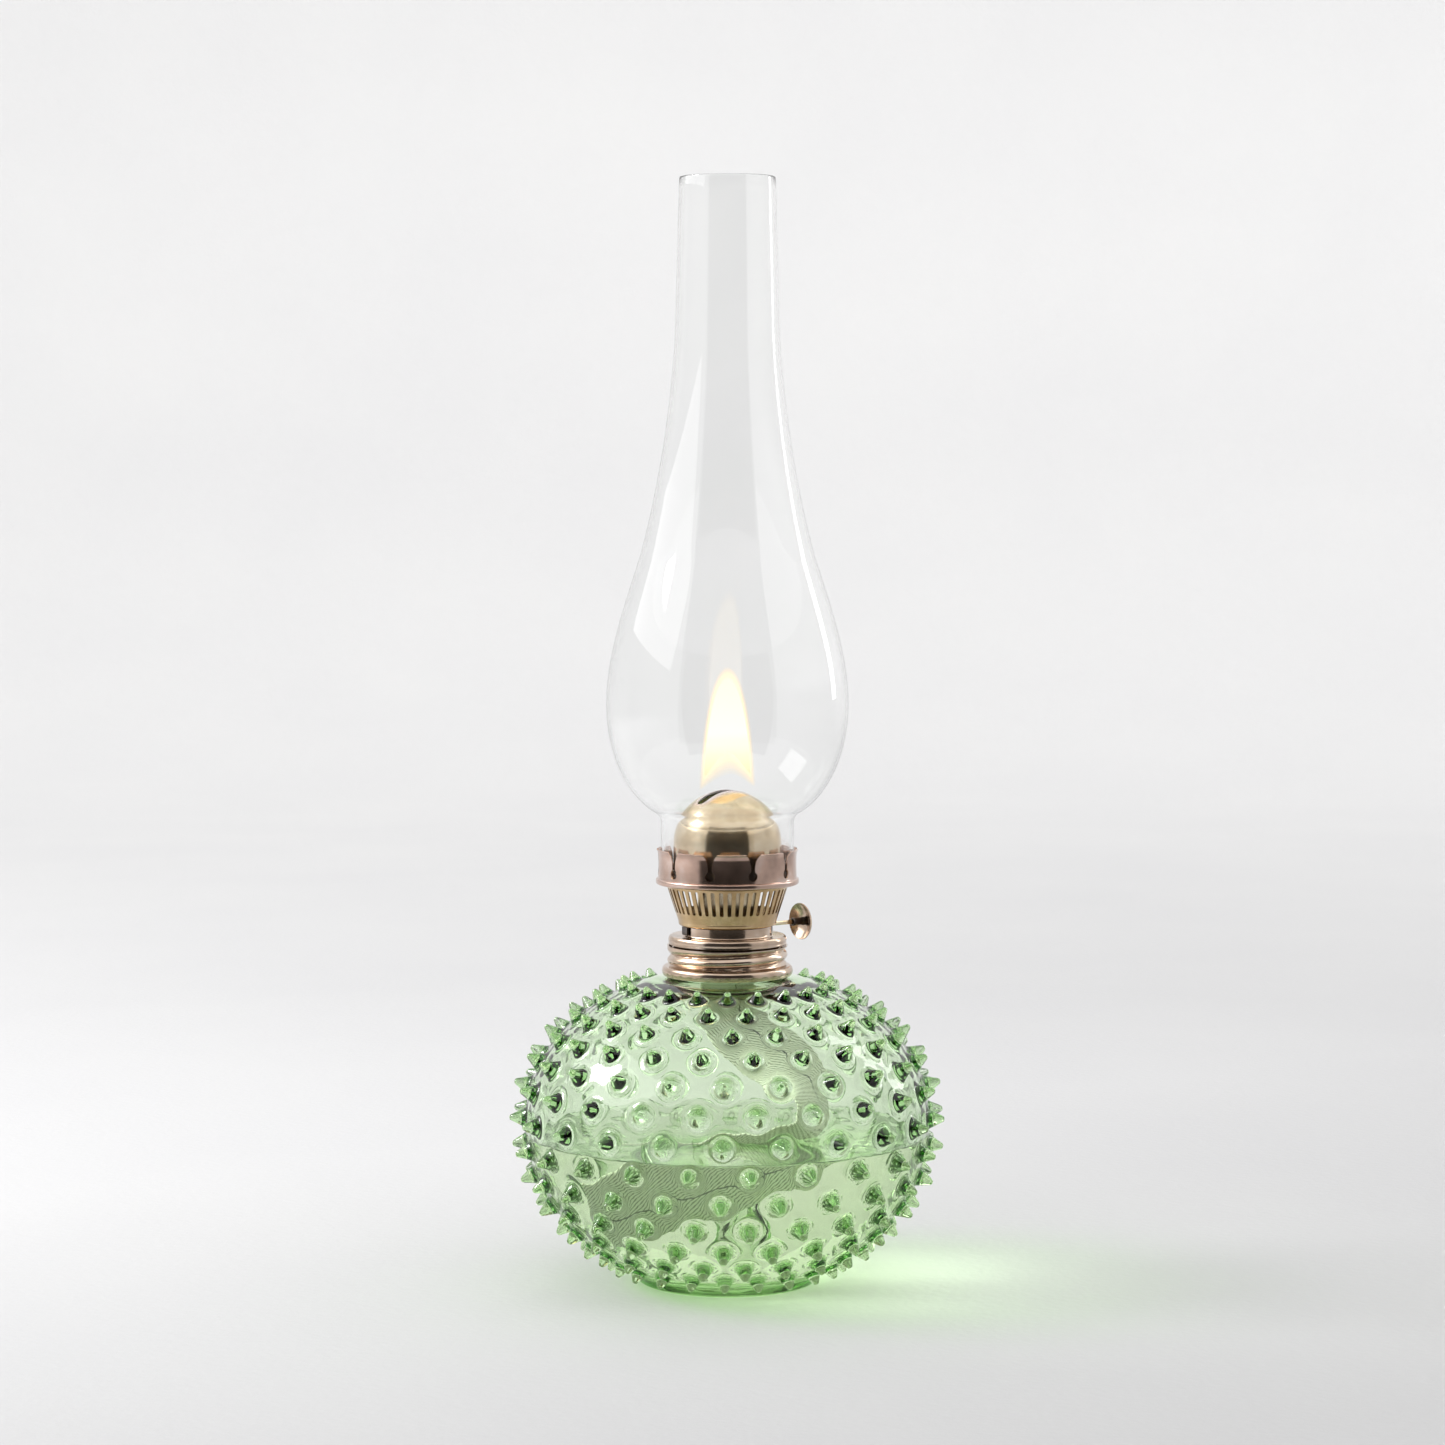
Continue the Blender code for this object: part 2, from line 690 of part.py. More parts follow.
def wick_outline():
    """Centre, half-width direction of each station of the wick, from its lit end to its tail."""
    side = Vector((*across_winder(1, 0), 0))
    return [
        (Vector((0, 0, WICK_TOP)), side),
        (Vector((0, 0, 150)), side),
        (Vector((0, 0, 114.2)), side),
        (Vector((0.6, -0.5, 108)), Vector((0.90, 0.43, 0.02))),
        (Vector((4, -2, 99)), Vector((0.93, 0.30, 0.20))),
        (Vector((13, -5, 92)), Vector((0.84, 0.22, 0.50))),
        (Vector((23, -9, 85)), Vector((0.74, 0.38, 0.55))),
        (Vector((31, -14, 76)), Vector((0.55, 0.80, 0.20))),
        (Vector((32, -17, 67)), Vector((0.42, 0.90, -0.10))),
        (Vector((28, -19, 60)), Vector((0.32, 0.85, -0.42))),
        (Vector((17, -20, 55.5)), Vector((0.26, 0.70, -0.66))),
        (Vector((3, -19, 51.5)), Vector((0.28, 0.62, -0.73))),
        (Vector((-12, -17, 47.5)), Vector((0.30, 0.60, -0.74))),
        (Vector((-26, -14, 43.5)), Vector((0.30, 0.60, -0.74))),
        (Vector((-40, -10, 38.5)), Vector((0.32, 0.60, -0.73))),
    ]


def flat_wick():
    """The woven wick: straight in its tube, then lying loose in the fount."""
    shape = bmesh.new()
    stations = wick_outline()
    rings = []
    for index, (centre, side) in enumerate(stations):
        before = stations[max(index - 1, 0)][0]
        after = stations[min(index + 1, len(stations) - 1)][0]
        along = (after - before).normalized()
        side = (side - along * side.dot(along)).normalized() * WICK_WIDTH / 2
        flat = along.cross(side).normalized() * WICK_THICKNESS / 2
        corners = (side + flat, -side + flat, -side - flat, side - flat)
        rings.append([shape.verts.new(centre + corner) for corner in corners])
    for ring, other in zip(rings, rings[1:]):
        for i in range(4):
            j = (i + 1) % 4
            shape.faces.new((ring[i], ring[j], other[j], other[i]))
    shape.faces.new(rings[0])
    shape.faces.new(rings[-1])
    return mesh_object("flat_wick", shape, cotton("wick_cotton"))


# ---------------------------------------------------------------- basket, gallery and dome


def air_basket():
    """The tapered basket: a beaded foot, upright air slots and a flange under the gallery."""
    columns = 2 * BASKET_SLOTS
    taper = (BASKET_HIGH_RADIUS - BASKET_LOW_RADIUS) / (BASKET_TOP - BASKET_BOTTOM)

    def radius_at(level):
        return BASKET_LOW_RADIUS + taper * (level - BASKET_BOTTOM)

    # Outer and inner (radius, height), from the bottom up, ending on the inward flange.
    profile = [
        ((BASKET_LOW_RADIUS - 0.5, BASKET_BOTTOM), (BASKET_LOW_RADIUS - 1.0, BASKET_BOTTOM + 0.2)),
        ((BASKET_LOW_RADIUS + 0.3, BASKET_BOTTOM + 0.8),
         (BASKET_LOW_RADIUS - 0.5, BASKET_BOTTOM + 0.9)),
    ]
    for level in (SLOT_BOTTOM, SLOT_TOP):
        profile.append(((radius_at(level), level), (radius_at(level) - SHEET, level)))
    profile.append(((radius_at(BASKET_TOP - 0.3), BASKET_TOP - 0.2),
                    (radius_at(BASKET_TOP) - 1.3, BASKET_TOP - SHEET)))
    profile.append(((21.0, BASKET_TOP), (21.0, BASKET_TOP - SHEET)))

    def side(index):
        def point(row, column):
            radius, height = profile[row][index]
            # Slots are a little narrower than the bars between them.
            slot_shift = 0.12 if column % 2 else -0.12
            turn = 360 * (column + slot_shift) / columns
            return around(radius, turn, height)
        return point

    def is_bar(row, column):
        return row != 2 or column % 2 == 1

    return thick_shell("air_basket", side(0), side(1), len(profile), columns,
                       brass("basket_brass"), is_bar)


def gallery():
    """The crown that grips the chimney: a floor, a bead, and sprung prongs between keyholes."""
    # Outer (radius, height) and the slot's width there; the sheet lies inside it.
    profile = [
        (21.3, GALLERY_FLOOR, 0.0),
        (26.6, GALLERY_FLOOR, 0.0),
        (GALLERY_RADIUS, GALLERY_FLOOR + 0.8, 0.0),
        (GALLERY_RADIUS - 0.1, GALLERY_FLOOR + 1.8, 0.0),
        (27.1, 158.2, 1.2),
        (26.9, 159.2, 3.4),
        (26.8, 160.9, 3.4),
        (GALLERY_WAIST, 162.2, 1.8),
        (GALLERY_WAIST + 0.1, 164.4, 2.1),
        (26.95, 166.6, 3.7),
        (27.5, GALLERY_TOP, 6.0),
    ]
    inner_profile = [
        (21.3, GALLERY_FLOOR + SHEET),
        (26.2, GALLERY_FLOOR + SHEET),
        (GALLERY_RADIUS - SHEET, GALLERY_FLOOR + 1.1),
        (GALLERY_RADIUS - 0.1 - SHEET, GALLERY_FLOOR + 1.8),
    ]
    first_slot_row = len(inner_profile) - 1
    for radius, height, _ in profile[len(inner_profile):]:
        inner_profile.append((radius - SHEET, height))
    pitch = 360 / PRONGS
    # Where columns fall in one pitch: both edges of the slot, then across the prong.
    shares = (0.0, 0.0, 1 / 3, 2 / 3)
    columns = PRONGS * len(shares)

    def turn_at(row, column):
        width = max(profile[row][2], 0.9)
        half = width / GALLERY_RADIUS / 2 * 180 / pi
        step = column % len(shares)
        share = shares[step]
        start = PRONG_TURN - pitch / 2 + pitch * (column // len(shares))
        if step == 0:
            return start - half
        return start + half + (pitch - 2 * half) * share

    def outer(row, column):
        radius, height, _ = profile[row]
        return around(radius, turn_at(row, column), height)

    def inner(row, column):
        radius, height = inner_profile[row]
        return around(radius, turn_at(row, column), height)

    def is_metal(row, column):
        return column % len(shares) != 0 or row < first_slot_row + 1

    return thick_shell("gallery", outer, inner, len(profile), columns,
                       rose_bronze("gallery_metal"), is_metal)


def flame_dome():
    """The dome that spreads the draught, with a slot over the wick and a flange at its foot."""
    wall = 0.6
    bottom = GALLERY_FLOOR + SHEET + GAP
    steps = 8
    angles = [pi / 2 * i / steps for i in range(steps + 1)]
    outside = [(DOME_RADIUS * cos(a), DOME_LEVEL + DOME_RADIUS * sin(a)) for a in angles]
    inner = DOME_RADIUS - wall
    inside = [(inner * cos(a), DOME_LEVEL + inner * sin(a)) for a in angles]
    outside[-1] = (0, DOME_LEVEL + DOME_RADIUS)
    inside[-1] = (0, DOME_LEVEL + inner)
    outline = [(23.0, bottom), (23.0, bottom + wall), (DOME_RADIUS, bottom + wall), *outside]
    outline = [*inside[::-1], (inner, bottom), *outline]
    dome = turned("flame_dome", outline, 32, brass("dome_brass"), closed=False)
    slot = prism("dome_slot_guide", slot_outline(DOME_SLOT_LENGTH, DOME_SLOT_WIDTH),
                 DOME_LEVEL + 8, DOME_LEVEL + DOME_RADIUS + 5, brass("slot_guide"))
    cut(dome, slot)
    return dome


def catch(name, turn):
    """A bent steel clip that hangs from the basket's foot and grips the drum."""
    shape = bmesh.new()
    half = CATCH_HALF_WIDTH
    thickness = CATCH_THICKNESS
    inner = DRUM_RADIUS + GAP
    # (radius, height) of the side towards the drum; the outside is one thickness further out.
    bend = [
        (inner, FLANGE_TOP + 0.7),
        (inner + 0.1, FLANGE_TOP + 1.6),
        (inner + 0.1, BASKET_BOTTOM - GAP),
    ]
    rings = []
    for radius, height in bend:
        ring = [(radius, -half), (radius + thickness, -half),
                (radius + thickness, half), (radius, half)]
        rings.append([
            shape.verts.new(around(r, turn + across / r * 180 / pi, height)) for r, across in ring
        ])
    for ring, other in zip(rings, rings[1:]):
        for i in range(4):
            j = (i + 1) % 4
            shape.faces.new((ring[i], ring[j], other[j], other[i]))
    shape.faces.new(rings[0])
    shape.faces.new(rings[-1])
    return mesh_object(name, shape, dark_steel(name + "_steel"))


# ---------------------------------------------------------------- chimney


def chimney_outline():
    """The outer outline from the bottom up: straight base, bulge, and a slender flue."""
    bulge = (CHIMNEY_BULGE_RADIUS, CHIMNEY_BULGE_LEVEL)
    shoulder = (26.3, CHIMNEY_SHOULDER)
    waist = (33.6, 281.9)
    flue = (20.2, 364.8)
    outline = [(CHIMNEY_BASE_RADIUS, CHIMNEY_BOTTOM), (CHIMNEY_BASE_RADIUS, 179.6), shoulder]
    outline += curve(shoulder, (36, 186), (46.9, 202), bulge, 6)
    outline += curve(bulge, (46.8, 244.5), (38.5, 266.2), waist, 5)
    outline += curve(waist, (26.9, 306.6), (22.1, 335.5), flue, 3)
    outline.append((CHIMNEY_TOP_RADIUS, CHIMNEY_TOP))
    return outline


def chimney():
    outer = chimney_outline()
    inner = [(radius - CHIMNEY_WALL, height) for radius, height in outer]
    # The bulge's floor is nearly level, so the inner wall is raised there to keep its thickness.
    for index in range(2, 6):
        radius, height = inner[index]
        inner[index] = (radius, height + CHIMNEY_WALL * (6 - index) / 5)
    return turned("chimney", [*outer, *inner[::-1]], 32, clear_glass("chimney_glass"))


def main():
    clear_scene()
    axis = winder_axis()
    guide = brass("guide")
    wall_cutter = rod("drum_hole_guide", 1.5 + GAP, 10, 24, 16, guide, axis)
    cage_cutter = rod("cage_hole_guide", SHAFT_RADIUS + GAP, -14, 14, 16, guide, axis)
    windows = [
        prism(f"tube_window_guide_{number}",
              box_outline(centre - 1.3, centre + 1.3, WICK_THICKNESS / 2 + 0.2, 4.0),
              SHAFT_LEVEL - 4.5, SHAFT_LEVEL + 4.5, guide)
        for number, centre in enumerate((-WHEEL_SPACING, WHEEL_SPACING))
    ]
    fount()
    fount_collar()
    collar_cement()
    burner_gasket()
    burner_base(wall_cutter)
    tube_plate()
    wick_tube(windows)
    wheel_cage(cage_cutter)
    shaft_bushing(axis)
    winder_shaft(axis)
    spur_wheel("spur_wheel_inner", -WHEEL_SPACING, axis)
    spur_wheel("spur_wheel_outer", WHEEL_SPACING, axis)
    knob_ferrule(axis)
    knob_disc(axis)
    knob_rivet(axis)
    flat_wick()
    air_basket()
    gallery()
    flame_dome()
    for name, turn in zip(("catch_left", "catch_right"), CATCH_TURNS):
        catch(name, turn)
    chimney()


main()
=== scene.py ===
"""Oil lamp, lit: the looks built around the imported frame.

Numbers are in millimetres and degrees, and every mesh becomes metres as it is made. The lamp
stands on z = 0 with its axis on Z; its front is -Y and the knob is to the right rear.
"""

import json
from math import acos, asin, cos, pi, radians, sin, sqrt

import bmesh
import bpy
import numpy as np
from mathutils import Matrix, Vector


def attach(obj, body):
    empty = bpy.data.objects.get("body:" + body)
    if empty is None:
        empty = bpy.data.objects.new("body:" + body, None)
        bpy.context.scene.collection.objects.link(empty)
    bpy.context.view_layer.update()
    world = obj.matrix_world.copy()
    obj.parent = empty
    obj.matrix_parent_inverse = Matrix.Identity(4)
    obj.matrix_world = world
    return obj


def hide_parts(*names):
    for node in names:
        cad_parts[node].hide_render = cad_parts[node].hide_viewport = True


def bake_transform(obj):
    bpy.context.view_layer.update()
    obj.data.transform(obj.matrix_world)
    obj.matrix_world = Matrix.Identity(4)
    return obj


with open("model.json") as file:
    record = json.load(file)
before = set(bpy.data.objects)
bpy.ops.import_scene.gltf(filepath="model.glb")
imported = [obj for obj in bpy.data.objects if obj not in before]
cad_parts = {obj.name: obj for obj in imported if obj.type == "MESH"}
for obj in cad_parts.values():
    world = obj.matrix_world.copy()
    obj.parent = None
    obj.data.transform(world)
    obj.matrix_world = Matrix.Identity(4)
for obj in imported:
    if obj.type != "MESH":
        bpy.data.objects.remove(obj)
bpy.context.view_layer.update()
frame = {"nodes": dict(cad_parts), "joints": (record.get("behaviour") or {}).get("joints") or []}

MM = 0.001
NODES = frame["nodes"]

# Fount, as the CAD has it: two half ellipses that meet at the widest level.
BODY_RADIUS = 78.3
BODY_LEVEL = 63.5
BODY_RISE = 58.6
BODY_DROP = 65.5
GLASS_WALL = 4.0
FOOT_RADIUS = 34.0
FOOT_INNER_RADIUS = 28.0
NECK_RADIUS = 21.9
BORE_RADIUS = 17.5
NECK_TOP = 122.4
INNER_FLOOR = BODY_LEVEL - BODY_DROP + GLASS_WALL + 3.5
OIL_LEVEL = 58.5
OIL_BITE = 0.15

# Each row of hobs sits a few degrees off its place, as hand-pressed glass does.
HOBS_PER_ROW = 22
HOB_ROWS = 13
ROW_LIFT = 0.15
ROW_TURNS = (1.3, 1.3, 3.0, 1.5, 0.6, 1.4, 0.0, -0.7, -0.5, -0.4, 0.0, 0.0, 0.0)
HOB_TURN = -1.4
HOB_HEIGHT = 6.5
FIRST_ROW_RADIUS = 39.5
LAST_ROW_RADIUS = 43.5
TOP_ROW_STEP = 0.155
BOTTOM_ROW_STEP = 0.085

THREAD_PITCH = 4.4
THREAD_DEPTH = 1.4
THREAD_CREST = 23.3
FRONT_CREST_LEVEL = 126.4
THREAD_CLEARANCE = 0.6
SHEET = 0.6
COLLAR_BOTTOM = 119.3
THREAD_BOTTOM = 123.8
THREAD_TOP = 131.0
FLANGE_RADIUS = 22.8
FLANGE_BOTTOM = 132.4
FLANGE_TOP = 134.9
FLANGE_RIM_BOTTOM = 131.4
FLANGE_RIM_INNER_RADIUS = 22.2
DRUM_RADIUS = 17.1
DRUM_TOP = 138.6

WINDER_TURN = 35.0
WICK_WIDTH = 25.0
WICK_THICKNESS = 1.6
WICK_TOP = 184.5
SHAFT_RADIUS = 0.9
KNOB_RADIUS = 7.2
KNOB_DISTANCE = 40.9

BASKET_BOTTOM = 139.0
BASKET_TOP = 154.6
BASKET_LOW_RADIUS = 18.5
BASKET_HIGH_RADIUS = 23.6
BASKET_SLOTS = 44
SLOT_BOTTOM = 144.2
SLOT_TOP = 153.6
GALLERY_FLOOR = 154.95
GALLERY_RADIUS = 27.7
GALLERY_WAIST = 26.65
GALLERY_TOP = 168.3
PRONGS = 10
PRONG_TURN = 3.4
DOME_RADIUS = 20.9
DOME_LEVEL = 170.3
DOME_SLOT_LENGTH = 27.0
DOME_SLOT_WIDTH = 4.6

CHIMNEY_BOTTOM = 155.6
CHIMNEY_BASE_RADIUS = 25.7
CHIMNEY_SHOULDER = 181.2
CHIMNEY_BULGE_RADIUS = 46.8
CHIMNEY_BULGE_LEVEL = 224.7
CHIMNEY_TOP_RADIUS = 18.5
CHIMNEY_TOP = 426.6
# Thinner than in the CAD, as blown glass is.
CHIMNEY_WALL = 1.2

# In metres and degrees.
CAMERA_PLACE = (-0.0019, -1.4444, 0.3145)
CAMERA_LENS = 93.43
CAMERA_TILT = 3.85
KEY_PLACE = (1.35, -92, 1.12)


# ---------------------------------------------------------------- materials


def new_material(name):
    """A material, its node tree and its Principled BSDF."""
    material = bpy.data.materials.new(name)
    material.use_nodes = True
    return material, material.node_tree, material.node_tree.nodes["Principled BSDF"]


def add(tree, kind, **values):
    """A node with its sockets, or else its own settings, set by name."""
    made = tree.nodes.new(kind)
    for name, value in values.items():
        socket = made.inputs.get(name.replace("_", " "))
        if socket is not None:
            socket.default_value = value
        else:
            setattr(made, name, value)
    return made


def join(tree, source, out_name, target, in_name):
    tree.links.new(source.outputs[out_name], target.inputs[in_name])


def coordinates(tree, stretch=(1, 1, 1), turn=(0, 0, 0)):
    """The object's own coordinates in metres, stretched and turned."""
    origin = add(tree, "ShaderNodeTexCoord")
    mapping = add(tree, "ShaderNodeMapping", Scale=stretch, Rotation=turn)
    join(tree, origin, "Object", mapping, "Vector")
    return mapping


def separated(tree, place, out_name="Vector"):
    """A place's X, Y and Z."""
    made = add(tree, "ShaderNodeSeparateXYZ")
    join(tree, place, out_name, made, "Vector")
    return made


def noise(tree, scale, detail=4.0, stretch=(1, 1, 1)):
    place = coordinates(tree, stretch)
    made = add(tree, "ShaderNodeTexNoise", Scale=scale, Detail=detail)
    join(tree, place, "Vector", made, "Vector")
    return made


def ramp(tree, source, out_name, stops):
    """A colour ramp: (position, colour) stops."""
    made = add(tree, "ShaderNodeValToRGB")
    elements = made.color_ramp.elements
    while len(elements) < len(stops):
        elements.new(0.5)
    for element, (position, colour) in zip(elements, stops):
        element.position = position
        element.color = (*colour, 1.0)
    join(tree, source, out_name, made, "Fac")
    return made


def bump(tree, shader, source, out_name, strength, distance, before=None):
    made = add(tree, "ShaderNodeBump", Strength=strength, Distance=distance)
    join(tree, source, out_name, made, "Height")
    if before is not None:
        join(tree, before, "Normal", made, "Normal")
    join(tree, made, "Normal", shader, "Normal")
    return made


def spread(tree, source, out_name, **limits):
    """The source's range mapped to another, each 0 to 1 where no limit is given."""
    made = add(tree, "ShaderNodeMapRange", **limits)
    join(tree, source, out_name, made, "Value")
    return made


def mixed(tree, factor, first, second, kind="MIX"):
    """Two colours mixed by a factor; each of the three is a node's output or a constant."""
    made = add(tree, "ShaderNodeMix", data_type="RGBA", blend_type=kind)
    for number, source in ((0, factor), (6, first), (7, second)):
        if isinstance(source, bpy.types.NodeSocket):
            tree.links.new(source, made.inputs[number])
        else:
            made.inputs[number].default_value = source
    return made.outputs[2]


def surface_of_two(tree, source, out_name, first, second):
    """The first shader where the source is 0, and the second where it is 1."""
    made = add(tree, "ShaderNodeMixShader")
    join(tree, source, out_name, made, "Fac")
    tree.links.new(first.outputs["BSDF"], made.inputs[1])
    tree.links.new(second.outputs["BSDF"], made.inputs[2])
    join(tree, made, "Shader", tree.nodes["Material Output"], "Surface")


def glass(name, tints, ior, absorbed, density, shadow, waves, depth, roughness=(0.0, 0.02)):
    """Clear or coloured glass: slow waves in its surface, faint wear, and colour with depth."""
    material, tree, shader = new_material(name)
    shader.inputs["Transmission Weight"].default_value = 1.0
    shader.inputs["IOR"].default_value = ior
    patches = noise(tree, 30.0, 2.0)
    tint = ramp(tree, patches, "Fac", [(0.3, tints[0]), (0.7, tints[1])])
    join(tree, tint, "Color", shader, "Base Color")
    wear = noise(tree, 140.0, 6.0)
    rough = spread(tree, wear, "Fac", To_Min=roughness[0], To_Max=roughness[1])
    join(tree, rough, "Result", shader, "Roughness")
    wave = noise(tree, waves, 1.5)
    bump(tree, shader, wave, "Fac", 0.35, depth)
    volume = add(tree, "ShaderNodeVolumeAbsorption", Density=density)
    volume.inputs["Color"].default_value = (*absorbed, 1.0)
    join(tree, volume, "Volume", tree.nodes["Material Output"], "Volume")
    clear = add(tree, "ShaderNodeBsdfTransparent")
    clear.inputs["Color"].default_value = (*shadow, 1.0)
    paths = add(tree, "ShaderNodeLightPath")
    surface_of_two(tree, paths, "Is Shadow Ray", shader, clear)
    return material


def green_glass():
    return glass("pressed_green_glass", ((0.995, 1.0, 0.98), (0.975, 0.99, 0.955)), 1.5,
                 (0.44, 0.82, 0.24), 50.0, (0.95, 0.965, 0.94), 40.0, 0.0003)


def clear_glass():
    return glass("blown_clear_glass", ((1.0, 1.0, 1.0), (0.985, 0.99, 0.985)), 1.46,
                 (0.8, 0.9, 0.85), 4.0, (0.97, 0.975, 0.97), 9.0, 0.0004, (0.0, 0.004))


def lamp_oil():
    return glass("lamp_oil", ((1.0, 1.0, 0.99), (0.99, 1.0, 0.97)), 1.44,
                 (0.86, 0.90, 0.70), 5.0, (0.99, 1.0, 0.98), 12.0, 0.0002, (0.0, 0.004))


def metal(name, tones, roughness, tint=None):
    """Turned sheet metal: patchy tone, fine marks left by the lathe, and a soft worn polish."""
    material, tree, shader = new_material(name)
    shader.inputs["Metallic"].default_value = 1.0
    patches = noise(tree, 120.0, 5.0)
    colour = ramp(tree, patches, "Fac", [(0.30, tones[0]), (0.52, tones[1]), (0.72, tones[2])])
    source = colour.outputs["Color"]
    if tint is not None:
        source = tint(tree, source)
    tree.links.new(source, shader.inputs["Base Color"])
    stain = noise(tree, 420.0, 6.0)
    rough = spread(tree, stain, "Fac", To_Min=roughness[0], To_Max=roughness[1])
    join(tree, rough, "Result", shader, "Roughness")
    lines = noise(tree, 160.0, 3.0, (1, 1, 40))
    first = bump(tree, shader, lines, "Fac", 0.03, 0.0002)
    pits = noise(tree, 2600.0, 2.0)
    bump(tree, shader, pits, "Fac", 0.02, 0.0001, first)
    return material


def rose_bronze(name="rose_bronze_sheet", middle=(0.55, 0.42, 0.32)):
    darker = tuple(0.72 * tone for tone in middle)
    lighter = tuple(0.18 + 0.82 * tone for tone in middle)
    return metal(name, (darker, middle, lighter), (0.10, 0.24))


def yellow_brass():
    return metal("yellow_brass_sheet", ((0.62, 0.50, 0.32), (0.78, 0.66, 0.46), (0.84, 0.75, 0.58)),
                 (0.10, 0.22))


def basket_brass():
    return metal("basket_brass_sheet", ((0.36, 0.24, 0.12), (0.52, 0.37, 0.20), (0.66, 0.50, 0.31)),
                 (0.16, 0.30))


def dark_steel():
    return metal("oiled_dark_steel", ((0.05, 0.04, 0.035), (0.12, 0.10, 0.09), (0.20, 0.17, 0.14)),
                 (0.25, 0.5))


def heated_brass():
    """Brass that the flame has stained purple and grey beside the slot."""
    def tint(tree, colour):
        place = coordinates(tree, (1000, 1000, 1000), (0, 0, radians(-WINDER_TURN)))
        apart = separated(tree, place)
        beside = add(tree, "ShaderNodeMath", operation="ABSOLUTE")
        join(tree, apart, "Y", beside, 0)
        ragged = noise(tree, 300.0, 4.0)
        shifted = add(tree, "ShaderNodeMath", operation="MULTIPLY_ADD")
        join(tree, ragged, "Fac", shifted, 0)
        shifted.inputs[1].default_value = 3.0
        join(tree, beside, "Value", shifted, 2)
        near = spread(tree, shifted, "Value", From_Min=4.6, From_Max=7.6, To_Min=1.0, To_Max=0.0)
        high = spread(tree, apart, "Z", From_Min=184.0, From_Max=188.0)
        both = add(tree, "ShaderNodeMath", operation="MULTIPLY")
        join(tree, near, "Result", both, 0)
        join(tree, high, "Result", both, 1)
        stained = ramp(tree, both, "Value", [
            (0.0, (0.72, 0.60, 0.42)), (0.35, (0.68, 0.50, 0.44)), (0.8, (0.56, 0.49, 0.50)),
        ])
        oxide = spread(tree, both, "Value", To_Min=1.0, To_Max=0.35)
        join(tree, oxide, "Result", tree.nodes["Principled BSDF"], "Metallic")
        return mixed(tree, both.outputs["Value"], colour, stained.outputs["Color"])

    return metal("heated_brass_sheet", ((0.56, 0.43, 0.27), (0.68, 0.55, 0.38), (0.78, 0.67, 0.50)),
                 (0.10, 0.20), tint)


def cotton():
    """Undyed cotton cords with painted shade in the gaps between them, slanting weft, a painted dark
    line standing in for the ribbon's shaded edge, and a charred end
    """
    material, tree, shader = new_material("wick_cotton")
    patches = noise(tree, 160.0, 5.0)
    cream = ramp(tree, patches, "Fac", [
        (0.25, (0.93, 0.91, 0.82)), (0.5, (0.97, 0.96, 0.89)), (0.8, (0.99, 0.98, 0.94)),
    ])
    cloth = add(tree, "ShaderNodeUVMap", uv_map="cloth")
    lying = separated(tree, cloth, "UV")
    weave = add(tree, "ShaderNodeTexWave", Scale=1.0, Distortion=0.8, Detail=2.0)
    slanted = add(tree, "ShaderNodeMapping", Rotation=(0, 0, radians(28)), Scale=(7.5, 8.0, 1.0))
    join(tree, cloth, "UV", slanted, "Vector")
    join(tree, slanted, "Vector", weave, "Vector")
    # Painted shade: the troughs of the slanted weave are darkened, standing in for shade in the gaps
    # between cords.
    painted_gap_shade = ramp(tree, weave, "Fac", [(0.04, (0.34, 0.33, 0.27)), (0.35, (1.0, 1.0, 1.0))])
    shaded = mixed(tree, 1.0, cream.outputs["Color"], painted_gap_shade.outputs["Color"], "MULTIPLY")
    # Painted shade: the ramp named thread draws a thin dark line along the cloth near one edge,
    # standing in for the ribbon's shaded edge rather than a woven thread.
    thread = ramp(tree, lying, "X", [
        (0.622, (0, 0, 0)), (0.632, (1, 1, 1)), (0.646, (1, 1, 1)), (0.656, (0, 0, 0)),
    ])
    with_painted_edge_line = mixed(tree, thread.outputs["Color"], shaded, (0.012, 0.016, 0.014, 1.0))
    apart = separated(tree, coordinates(tree))
    charred = spread(tree, apart, "Z", From_Min=0.178, From_Max=0.183)
    worn = mixed(tree, charred.outputs["Result"], with_painted_edge_line, (0.02, 0.015, 0.012, 1.0))
    tree.links.new(worn, shader.inputs["Base Color"])
    shader.inputs["Roughness"].default_value = 0.92
    shader.inputs["Sheen Weight"].default_value = 0.15
    fibres = noise(tree, 2200.0, 4.0)
    bump(tree, shader, fibres, "Fac", 0.5, 0.0002)
    return material


def plaster():
    """Set plaster: grainy, with paler patches."""
    material, tree, shader = new_material("set_plaster")
    patches = noise(tree, 300.0, 6.0)
    tone = ramp(tree, patches, "Fac", [(0.3, (0.55, 0.52, 0.46)), (0.7, (0.80, 0.78, 0.72))])
    join(tree, tone, "Color", shader, "Base Color")
    shader.inputs["Roughness"].default_value = 0.9
    grains = noise(tree, 1800.0, 4.0)
    bump(tree, shader, grains, "Fac", 0.5, 0.0003)
    return material


def cork():
    """Pressed cork: brown crumbs, darker between them."""
    material, tree, shader = new_material("pressed_cork")
    cells = add(tree, "ShaderNodeTexVoronoi", Scale=900.0)
    place = coordinates(tree)
    join(tree, place, "Vector", cells, "Vector")
    tone = ramp(tree, cells, "Distance", [(0.1, (0.30, 0.19, 0.10)), (0.6, (0.14, 0.08, 0.045))])
    join(tree, tone, "Color", shader, "Base Color")
    shader.inputs["Roughness"].default_value = 0.85
    bump(tree, shader, cells, "Distance", 0.5, 0.0003)
    return material


